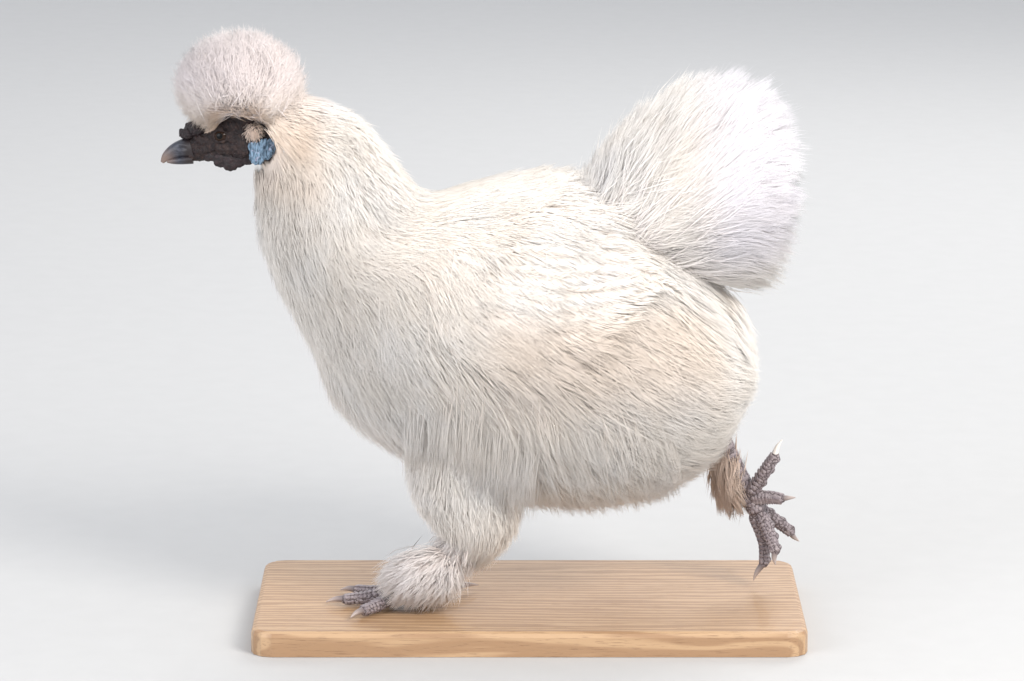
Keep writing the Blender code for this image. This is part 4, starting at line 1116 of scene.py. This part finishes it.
def build_plumage(materials):
    down = materials["down"]
    coat("crest_plumes", [grow_crest()], "crest_plumage", ["crest"], materials["crest_down"])
    for side, half in zip(SIDES, halves(grow_hackle())):
        coat(f"hackle_{side}", [half], "plumage", ["neck"], down)
    leg, hem = grow_drapes()
    for side, half, fringe in zip(SIDES, halves(grow_body()), halves(hem)):
        rear = half[0][:, 0, 0] > 38.0
        front = [[g[~rear] for g in half], *([leg] if side == "left" else [])]
        coat(f"breast_{side}", front, "plumage", ["torso"], down)
        coat(f"rump_{side}", [[g[rear] for g in half], fringe], "plumage", ["torso"], down)
    for side, half in zip(SIDES, halves(grow_tail())):
        coat(f"tail_plumes_{side}", [half], "tail_plumage", ["tail"], materials["tail_down"])
    for side in SIDES:
        coat(f"thigh_fluff_{side}", [grow_thigh(side)], "plumage", [f"thigh_{side}"], down)
        foot = materials["foot_down" if side == "left" else "shank_down"]
        coat(f"foot_fluff_{side}", grow_foot(side), "plumage", [f"shank_{side}"], foot)
        coat(f"ear_tuft_{side}", [grow_ear_tuft(side)], "plumage", ["head"], materials["ear_down"])


def feather(wing, root, tip, width, lows, barbs, rng, bend=0.0):
    """One wing feather: a shaft with fine barbs that slant to both sides and round off at the tip."""
    root, tip = np.array(root, float), np.array(tip, float)

    def spine(s, off=0.0):
        u = root[0] + (tip[0] - root[0]) * s
        v = root[1] + (tip[1] - root[1]) * s + bend * s * (1 - s)
        return wing.place(u, v, lows[0] + (lows[1] - lows[0]) * np.sqrt(np.clip(s, 0, 1)) + off)

    n = barbs * 2
    s = np.tile(np.linspace(0.03, 0.97, barbs), 2) + rng.uniform(-0.012, 0.012, n)
    here = spine(s)
    run = unit(spine(s + 0.02) - spine(s - 0.02))
    out = unit(spine(s, 2.0) - here)
    cross = unit(np.cross(out, run)) * np.repeat((-1.0, 1.0), barbs)[:, None]
    outline = np.clip(np.sin(np.pi * np.clip(s * 0.80 + 0.10, 0, 1)), 0, 1) ** 0.5
    reach = width / 2 * outline * rng.uniform(0.8, 1.15, n) * np.where(s > 0.9, 0.85, 1.0)
    drift = rng.uniform(1.0, 1.7, n) * (1.0 - 0.35 * (s > 0.85))
    sink = rng.uniform(-0.6, 0.5, n)
    path = []
    for k in SPOTS:
        ahead, aside = reach * drift * (k + 0.35 * k * k), reach * (k - 0.18 * k * k)
        under = 0.9 * k * k * reach / width * 2 + sink * k - 0.2
        path.append(here + run * ahead[:, None] + cross * aside[:, None] - out * under[:, None])
    shaft = spine(np.array((0.0, 0.5, 0.98)), 0.3)[None]
    strip = 0.2 if wing.side == "right" else 0.0
    uv = np.array([[0.62 + 0.2 * root[0], 0.1 * np.clip(root[1], 0, 1) + strip]])
    tone = rng.uniform(0.2, 0.6) + rng.uniform(-0.15, 0.15, n)
    outs = np.repeat(out[:, None], 3, 1)
    widths = 0.50 * rng.uniform(0.8, 1.2, n)
    barb_part = [np.stack(path, 1), widths, outs, tone.clip(0, 1), np.repeat(uv, n, 0)]
    shaft_part = [shaft, np.array([0.8]), outs[:1], np.array([0.2]), uv]
    return [np.concatenate(pair) for pair in zip(barb_part, shaft_part)]


def build_wings(materials):
    """Three tiers of coverts over two rows of long feathers, on each wing."""
    deck = WING_THICK - TORSO_COAT

    def hug(share):
        """How far the feathers rise: least along the wing's two edges."""
        return 0.15 + 0.85 * max(math.sin(math.pi * share), 0.0) ** 0.5

    for side in SIDES:
        wing, rng = Wing(side), np.random.default_rng(81)
        parts = [grow_wing_down(side)]
        for i in range(6):
            root, tip = (0.50, 0.35 + 0.07 * i), (1.06 - 0.035 * i, 0.20 + 0.15 * i)
            lows = (deck - 3.0, deck + (2.2 + 0.25 * i) * hug(i / 5))
            parts.append(feather(wing, root, tip, 15.0, lows, LONG_BARBS, rng))
        for i in range(9):
            root, tip = (0.34, 0.14 + 0.09 * i), (1.0 - 0.035 * i, 0.10 + 0.115 * i)
            lows = (deck - 2.0, deck + (4.0 + 0.2 * i) * hug(i / 8))
            parts.append(feather(wing, root, tip, 18.0, lows, LONG_BARBS, rng))
        for start, reach, count, rise, wide in WING_TIERS:
            for i in range(count):
                share = i / (count - 1)
                root = (start + rng.uniform(-0.015, 0.015), 0.08 + 0.84 * share)
                end = reach + 0.05 * math.sin(math.pi * share) + rng.uniform(-0.02, 0.02)
                tip = (end, 0.04 + 0.95 * share)
                lows = (deck - 1.5, deck + rise * hug(share) + rng.uniform(-0.3, 0.3))
                parts.append(feather(wing, root, tip, wide, lows, COVERT_BARBS, rng, bend=0.05))
        coat(f"wing_feathers_{side}", parts, "plumage", [f"wing_{side}"], materials["down"])


# Skin and bare parts


def head_flesh():
    """The bare head: cheeks, brows, eyelids, ear rims, the gape's groove and fine folds."""
    parts = [tube_mesh(HEAD_FORM, count=40, sides=40, off=-0.9)]
    for side in SIDES:
        parts += [ball_mesh(on_side(centre, side), radii, turn=turn) for centre, radii, turn in HEAD_LUMPS]
        out = unit(on_side(EYE_FACING, side))
        first, second = plane_of(out)
        wide, tall = np.radians(EYELID_OPENING)
        lid = []
        for turn in np.linspace(0, 2 * np.pi, 33)[:-1]:
            away = math.hypot(wide * math.cos(turn), tall * math.sin(turn))
            ray = unit(first * wide * math.cos(turn) + second * tall * math.sin(turn))
            lid.append(on_side(EYE_CENTRE, side) + LID_RADIUS * (out * math.cos(away) + ray * math.sin(away)))
        parts.append(band_mesh(np.array(lid), LID_THICKNESS, out))
        parts.append(band_mesh(circle(on_side(EAR_CENTRE, side) + out * 0.4, EAR_RADIUS, out), 1.0, out))
    points, faces, normals = melted(parts, 0.5, 4)
    for side in SIDES:
        gape = [on_side(p, side) for p in GAPE]
        for a, b in zip(gape, gape[1:]):
            share = np.clip((points - a) @ (b - a) / ((b - a) @ (b - a)), 0, 1)
            away = np.linalg.norm(points - a - share[:, None] * (b - a), axis=1)
            points -= normals * np.exp(-((away / 0.9) ** 2))[:, None]
    folds = np.sin(points[:, 0] * 1.5 + 1.6 * ripple(points, 9.0, 5) + points[:, 2] * 0.35)
    height = 0.24 * folds + 0.42 * ripple(points, 4.5, 7) + 0.16 * ripple(points, 1.8, 8)
    points = ridged(points, normals, height)
    for side in SIDES:
        eye = on_side(EYE_CENTRE, side)
        far = np.linalg.norm(points - eye, axis=1)[:, None]
        depth = SOCKET_RADIUS - 0.5 * (SOCKET_RADIUS - far)
        pushed = eye + unit(points - eye) * depth * np.minimum(far / SOCKET_RADIUS, 1)
        points = np.where(far < SOCKET_RADIUS, pushed, points)
    return points, faces


def leg_flesh(side):
    """The bare shank and toes, with a ball at each joint and pads under the toes."""
    parts = [tube_mesh(SHANK_FORMS[side], off=-0.15), ball_mesh(FOOT[side], (6.2, 6.0, 5.6))]
    for form in TOE_FORMS[side]:
        root, tip = form.frame(0.0)[0], form.frame(2.0)[0]
        parts.append(tube_mesh(form, sides=20, off=-0.15))
        parts.append(ball_mesh(root[:3], (root[3] * 1.02,) * 3, count=12, sides=16))
        for t in (0.5, 1.1, 1.75):
            row, _, _, up = form.frame(t)
            radii = (row[3], row[3] * 0.92, row[3] * 0.72)
            parts.append(ball_mesh(row[:3] - up * row[3] * 0.42, radii, pole=up, count=10, sides=14))
        parts.append(ball_mesh(tip[:3], (tip[3] * 0.95,) * 3, count=10, sides=14))
    points, faces, _ = melted(parts, 0.75, 3)
    if side == "left":
        points[:, 2] = np.maximum(points[:, 2], 0.35)
    return points, faces


def build_skin(materials):
    """One skin for every fleshy node: the body under its plumage, the bare head and both legs."""
    body = [
        tube_mesh(TRUNK_FORM, 0.0, 3.7, 30, 32, -NECK_COAT - 1.0),
        tube_mesh(TRUNK_FORM, 3.3, None, 60, 40, -TORSO_COAT - 1.0),
        tube_mesh(TAIL_CORE_FORM, 0.0, None, 24, 28, -2.0),
        ball_mesh(CREST_CORE, CREST_CORE_RADII, -1.0),
        tube_mesh(HEAD_FORM, 0.0, 4.0, 24, 24, -1.6),
    ]
    for side in SIDES:
        body.append(tube_mesh(THIGH_FORMS[side], sides=28, off=-THIGH_COAT - 0.5))
        body.append(tube_mesh(Wing(side), 0.02, 0.80, 24, 20))
    parts = [melted(body, 2.4, 6)[:2], head_flesh(), leg_flesh("left"), leg_flesh("right")]
    points, faces = joined(parts)
    skin = raw_object("skin", points, faces)
    part_of = np.repeat(np.arange(len(parts)), [len(p) for p, _ in parts])
    bare = inside_outline(points[:, 0], points[:, 2], FACE_OPENING) | (points[:, 0] < -160)
    write_values(skin.data, "face", bare & (part_of <= 1))
    write_values(skin.data, "leg", part_of >= 2)
    nodes = ["head", "neck", "torso", "tail", "crest", "thigh_left", "thigh_right", "wing_left", "wing_right"]
    return piece(skin, "face_skin", nodes + leg_nodes("left") + leg_nodes("right"), materials["skin"])


def leg_nodes(side):
    return [f"shank_{side}"] + [f"toe_{side}_{digit + 1}" for digit in range(5)]


def build_head_pieces(materials):
    for side in SIDES:
        eye, out = on_side(EYE_CENTRE, side), unit(on_side(EYE_FACING, side))
        points, faces = facing_out(*ball_mesh(eye, (EYE_RADIUS,) * 3, pole=out, count=28, sides=40))
        ball = raw_object(f"eyeball_{side}", points, faces)
        write_values(ball.data, "ring", np.linalg.norm(np.cross(points - eye, out), axis=1) / EYE_RADIUS)
        piece(ball, "eye", [f"eye_{side}"], materials["eye"])

        lobes = [ball_mesh(on_side(c, side), r, turn=EARLOBE_TILT) for c, r in EARLOBE_LOBES]
        points, faces, normals = melted(lobes, 0.35, 4)
        ridges = np.sin(points[:, 0] * 2.3 - points[:, 2] * 0.9 + 1.8 * ripple(points, 8.0, 15))
        points = ridged(points, normals, 0.22 * ridges + 0.25 * ripple(points, 4.0, 16))
        lobe = raw_object(f"earlobe_skin_{side}", points, faces)
        piece(lobe, "earlobe_skin", [f"earlobe_{side}"], materials["earlobe"])

        points, faces, normals = melted([ball_mesh(on_side(c, side), r) for c, r in WATTLE_FOLDS], 0.4, 5)
        points = ridged(points, normals, 0.35 * ripple(points, 5.0, 17) + 0.15 * np.sin(points[:, 0] * 2.2))
        wattle = raw_object(f"wattle_skin_{side}", points, faces)
        piece(wattle, "comb_skin", [f"wattle_{side}"], materials["comb"])

    bulbs = [ball_mesh((x, y, z), (r, r, r * 0.85)) for x, y, z, r in COMB_BULBS]
    points, faces, normals = melted(bulbs, 0.4, 3)
    lumps = np.abs(ripple(points, 5.5, 18)) - 0.35
    points = ridged(points, normals, 0.9 * lumps + 0.25 * ripple(points, 2.2, 19))
    piece(raw_object("comb_lumps", points, faces), "comb_skin", ["comb"], materials["comb"])

    points, faces = tube_mesh(UPPER_FORM, 0.0, None, 60, 48)
    for side in SIDES:
        nostril = on_side(NOSTRIL_CENTRE, side)
        for depth, above, reach in ((-1.2, 0.0, (2.1, 3.0, 1.0)), (0.45, 1.4, (3.0, 4.0, 1.2))):
            away = np.linalg.norm((points - nostril - np.array((0.0, 0.0, above))) / np.array(reach), axis=1)
            points[:, 1] += HAND[side] * depth * np.exp(-(away**2))
    bill = raw_object("bill_upper", *facing_out(points, faces))
    piece(bill, "bill_horn", ["beak_upper"], materials["bill"])
    bill = raw_object("bill_lower", *facing_out(*tube_mesh(LOWER_FORM, 0.0, None, 40, 32)))
    piece(bill, "bill_horn", ["beak_lower"], materials["bill"])


def build_claws(materials):
    for side in SIDES:
        for digit in range(5):
            form = claw_form(side, digit)
            points, faces = tube_mesh(form, 0.0, None, 20, 16)
            claw = raw_object(f"claw_horn_{side}_{digit + 1}", *facing_out(points, faces))
            root, tip = form.rows[0, :3], form.rows[-1, :3]
            write_values(claw.data, "along", ((points - root) @ (tip - root)) / ((tip - root) @ (tip - root)))
            horn = materials["pale_claw" if side == "right" and digit == 4 else "claw"]
            piece(claw, "claw_horn", [f"claw_{side}_{digit + 1}"], horn)


def dome_tree(name, material):
    """Low domes on every point of the input, turned and sized by the points' own attributes."""
    tree = bpy.data.node_groups.new(name, "GeometryNodeTree")
    face = tree.interface
    face.new_socket("Places", in_out="INPUT", socket_type="NodeSocketGeometry")
    names = {}
    for label, kind in (("Size", "Float"), ("Unevenness", "Float"), ("Seed", "Int")):
        names[label] = face.new_socket(label, in_out="INPUT", socket_type=f"NodeSocket{kind}").identifier
    face.new_socket("Domes", in_out="OUTPUT", socket_type="NodeSocketGeometry")

    def make(kind, values, output=0, **settings):
        made = tree.nodes.new(kind)
        for key, value in settings.items():
            setattr(made, key, value)
        for key, value in values.items():
            if isinstance(value, bpy.types.NodeSocket):
                tree.links.new(value, made.inputs[key])
            else:
                made.inputs[key].default_value = value
        return made.outputs[output] if len(made.outputs) > 0 else made

    def read(attribute):
        named = {"Name": attribute}
        return make("GeometryNodeInputNamedAttribute", named, "Attribute", data_type="FLOAT_VECTOR")

    into = tree.nodes.new("NodeGroupInput").outputs
    ball = make("GeometryNodeMeshUVSphere", {"Segments": 9, "Rings": 6, "Radius": 1.0}, "Mesh")
    size = make("ShaderNodeCombineXYZ", {0: into["Size"], 1: into["Size"], 2: into["Size"]})
    dome = make("GeometryNodeTransform", {"Geometry": ball, "Scale": size})
    up = make("FunctionNodeAlignRotationToVector", {"Vector": read("out")}, axis="Z")
    lying = {"Rotation": up, "Vector": read("run")}
    turned = make("FunctionNodeAlignRotationToVector", lying, axis="X", pivot_axis="Z")
    least = make("ShaderNodeMath", {0: 1.0, 1: into["Unevenness"]}, operation="SUBTRACT")
    chance = make("FunctionNodeRandomValue", {2: least, 3: 1.0, "Seed": into["Seed"]}, 1, data_type="FLOAT")
    scale = make("ShaderNodeVectorMath", {0: read("share"), "Scale": chance}, operation="SCALE")
    held = {"Points": into["Places"], "Instance": dome, "Rotation": turned, "Scale": scale}
    whole = make("GeometryNodeRealizeInstances", {0: make("GeometryNodeInstanceOnPoints", held)})
    smooth = make("GeometryNodeSetShadeSmooth", {0: whole})
    make("NodeGroupOutput", {0: make("GeometryNodeSetMaterial", {0: smooth, "Material": material})})
    return tree, names


def domes(name, tree, places, out, run, share, **sizes):
    """One mesh of domes at the given places. `share` holds each one's size along, across and up."""
    group, names = tree
    mesh = bpy.data.meshes.new(name)
    mesh.from_pydata([tuple(p) for p in (places + SHIFT) * MM], [], [])
    for label, values in (("out", out), ("run", run), ("share", share)):
        write_values(mesh, label, values, "FLOAT_VECTOR")
    obj = linked(name, mesh)
    maker = obj.modifiers.new("domes", "NODES")
    maker.node_group = group
    for label, value in {"Size": MM, **sizes}.items():
        maker[names[label]] = value
    return plain(obj)


def build_scutes(materials):
    """Scutes down the front of the shanks and the top of the toes, and small scales elsewhere."""
    tree = dome_tree("leg_scutes", materials["scutes"])
    for side in SIDES:
        rows = []

        def ring(form, t, angles, long, wide, high, sunk):
            for angle in angles:
                here = form.points(t, angle)
                out = unit(form.points(t, angle, 1.0) - here)
                run = unit(form.points(t + 0.03, angle) - here)
                rows.append((here - out * sunk, out, run, (long, wide, high)))

        front, shank = math.pi / 2, SHANK_FORMS[side]
        for k in range(SHANK_ROWS):
            t, nudge = 0.30 + 3.55 * k / (SHANK_ROWS - 1), 0.14 if k % 2 else -0.14
            ring(shank, t, (front - 0.42 + nudge, front + 0.42 + nudge), 2.1, 2.5, high=0.50, sunk=0.38)
            behind = [front + 1.15 + nudge + 0.47 * j for j in range(9)]
            ring(shank, t, behind, 1.5, 1.35, high=0.42, sunk=0.32)
        for form in TOE_FORMS[side]:
            for k in range(TOE_ROWS):
                t, nudge = 0.12 + 1.82 * k / (TOE_ROWS - 1), 0.2 if k % 2 else 0.0
                r = float(form.frame(t)[0][3])
                ring(form, t, (0.0,), 1.35, r * 0.92, high=0.50, sunk=0.40)
                ring(form, t, (0.92, -0.92), 1.2, r * 0.42, high=0.42, sunk=0.33)
                below = [math.pi + d + nudge for d in (-1.3, -0.75, -0.25, 0.25, 0.75)]
                ring(form, t, below, 1.1, 0.95, high=0.44, sunk=0.32)
        # None where the planted foot rests on the base.
        rows = [row for row in rows if row[0][2] > 1.0 or side == "right"]
        columns = [np.array(column) for column in zip(*rows)]
        made = domes(f"scutes_{side}", tree, *columns, Unevenness=0.15, Seed=3)
        piece(made, "shank_scales", leg_nodes(side), materials["scutes"])


def build_papillae(skin, materials):
    """Small warts on the bare face."""
    tree = dome_tree("face_papillae", materials["comb"])
    rng = np.random.default_rng(91)
    points, _, normals = read_mesh(skin)
    face = read_out(skin.data.attributes["face"].data, "value", 1)[:, 0]
    eyes = np.min([np.linalg.norm(points - on_side(EYE_CENTRE, s), axis=1) for s in SIDES], axis=0)
    behind_bill = (points[:, 0] > -166) & (np.abs(points[:, 1]) > 3.0)
    open_skin = np.flatnonzero((face > 0.5) & (eyes > 7.2) & behind_bill)
    chosen = rng.choice(open_skin, WARTS, replace=False)
    sizes = rng.uniform(0.35, 0.85, WARTS)
    share = np.stack((sizes * 1.1, sizes, sizes * 0.8), -1)
    run = np.tile((0.6, 0.0, -0.8), (WARTS, 1))
    out = normals[chosen]
    made = domes("face_papillae", tree, points[chosen] - out * 0.1, out, run, share, Unevenness=0.3, Seed=5)
    piece(made, "face_skin", ["head"], materials["comb"])


# Floor, light and camera


def facing(place, target):
    return (target - Vector(place)).to_track_quat("-Z", "Y").to_euler()


def build_studio(materials):
    size = 6.0
    corners = [(-size, -size, 0), (size, -size, 0), (size, size, 0), (-size, size, 0)]
    mesh = bpy.data.meshes.new("floor")
    mesh.from_pydata(corners, [], [(0, 1, 2, 3)])
    mesh.materials.append(materials["floor"])
    floor = linked("floor", mesh)
    floor.location.z = -0.0002

    world = bpy.data.worlds.new("studio")
    bpy.context.scene.world = world
    world.use_nodes = True
    sky = world.node_tree.nodes["Background"].inputs
    sky[0].default_value, sky[1].default_value = (0.93, 0.95, 1.0, 1.0), 0.98

    for name, place, size, power, colour in LAMPS:
        lamp = bpy.data.lights.new(name, "AREA")
        lamp.size, lamp.energy, lamp.color = size, power, colour
        obj = linked(name, lamp)
        obj.location, obj.rotation_euler = place, facing(place, Vector((0.0, 0.0, 0.17)))


def build_camera():
    """A long lens that looks down a little on the bird's left side, as in the photograph."""
    data = bpy.data.cameras.new("camera")
    data.sensor_width, data.lens, data.clip_end = 36.0, 155.6, 50.0
    camera = linked("camera", data)
    target, rise, away = Vector((-0.0097, 0.0, 0.1626)), math.radians(12.0), 2.5
    camera.location = target + Vector((0.0, -math.cos(rise), math.sin(rise))) * away
    camera.rotation_euler = facing(camera.location, target)
    bpy.context.scene.camera = camera
    bpy.context.scene.view_settings.view_transform = "Standard"


def main():
    materials = build_materials()
    build_camera()
    skin = build_skin(materials)
    build_head_pieces(materials)
    build_claws(materials)
    build_scutes(materials)
    build_papillae(skin, materials)
    build_plumage(materials)
    build_wings(materials)
    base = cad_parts["stand_base"].data.materials
    base.clear()
    base.append(materials["base"])
    build_studio(materials)


main()
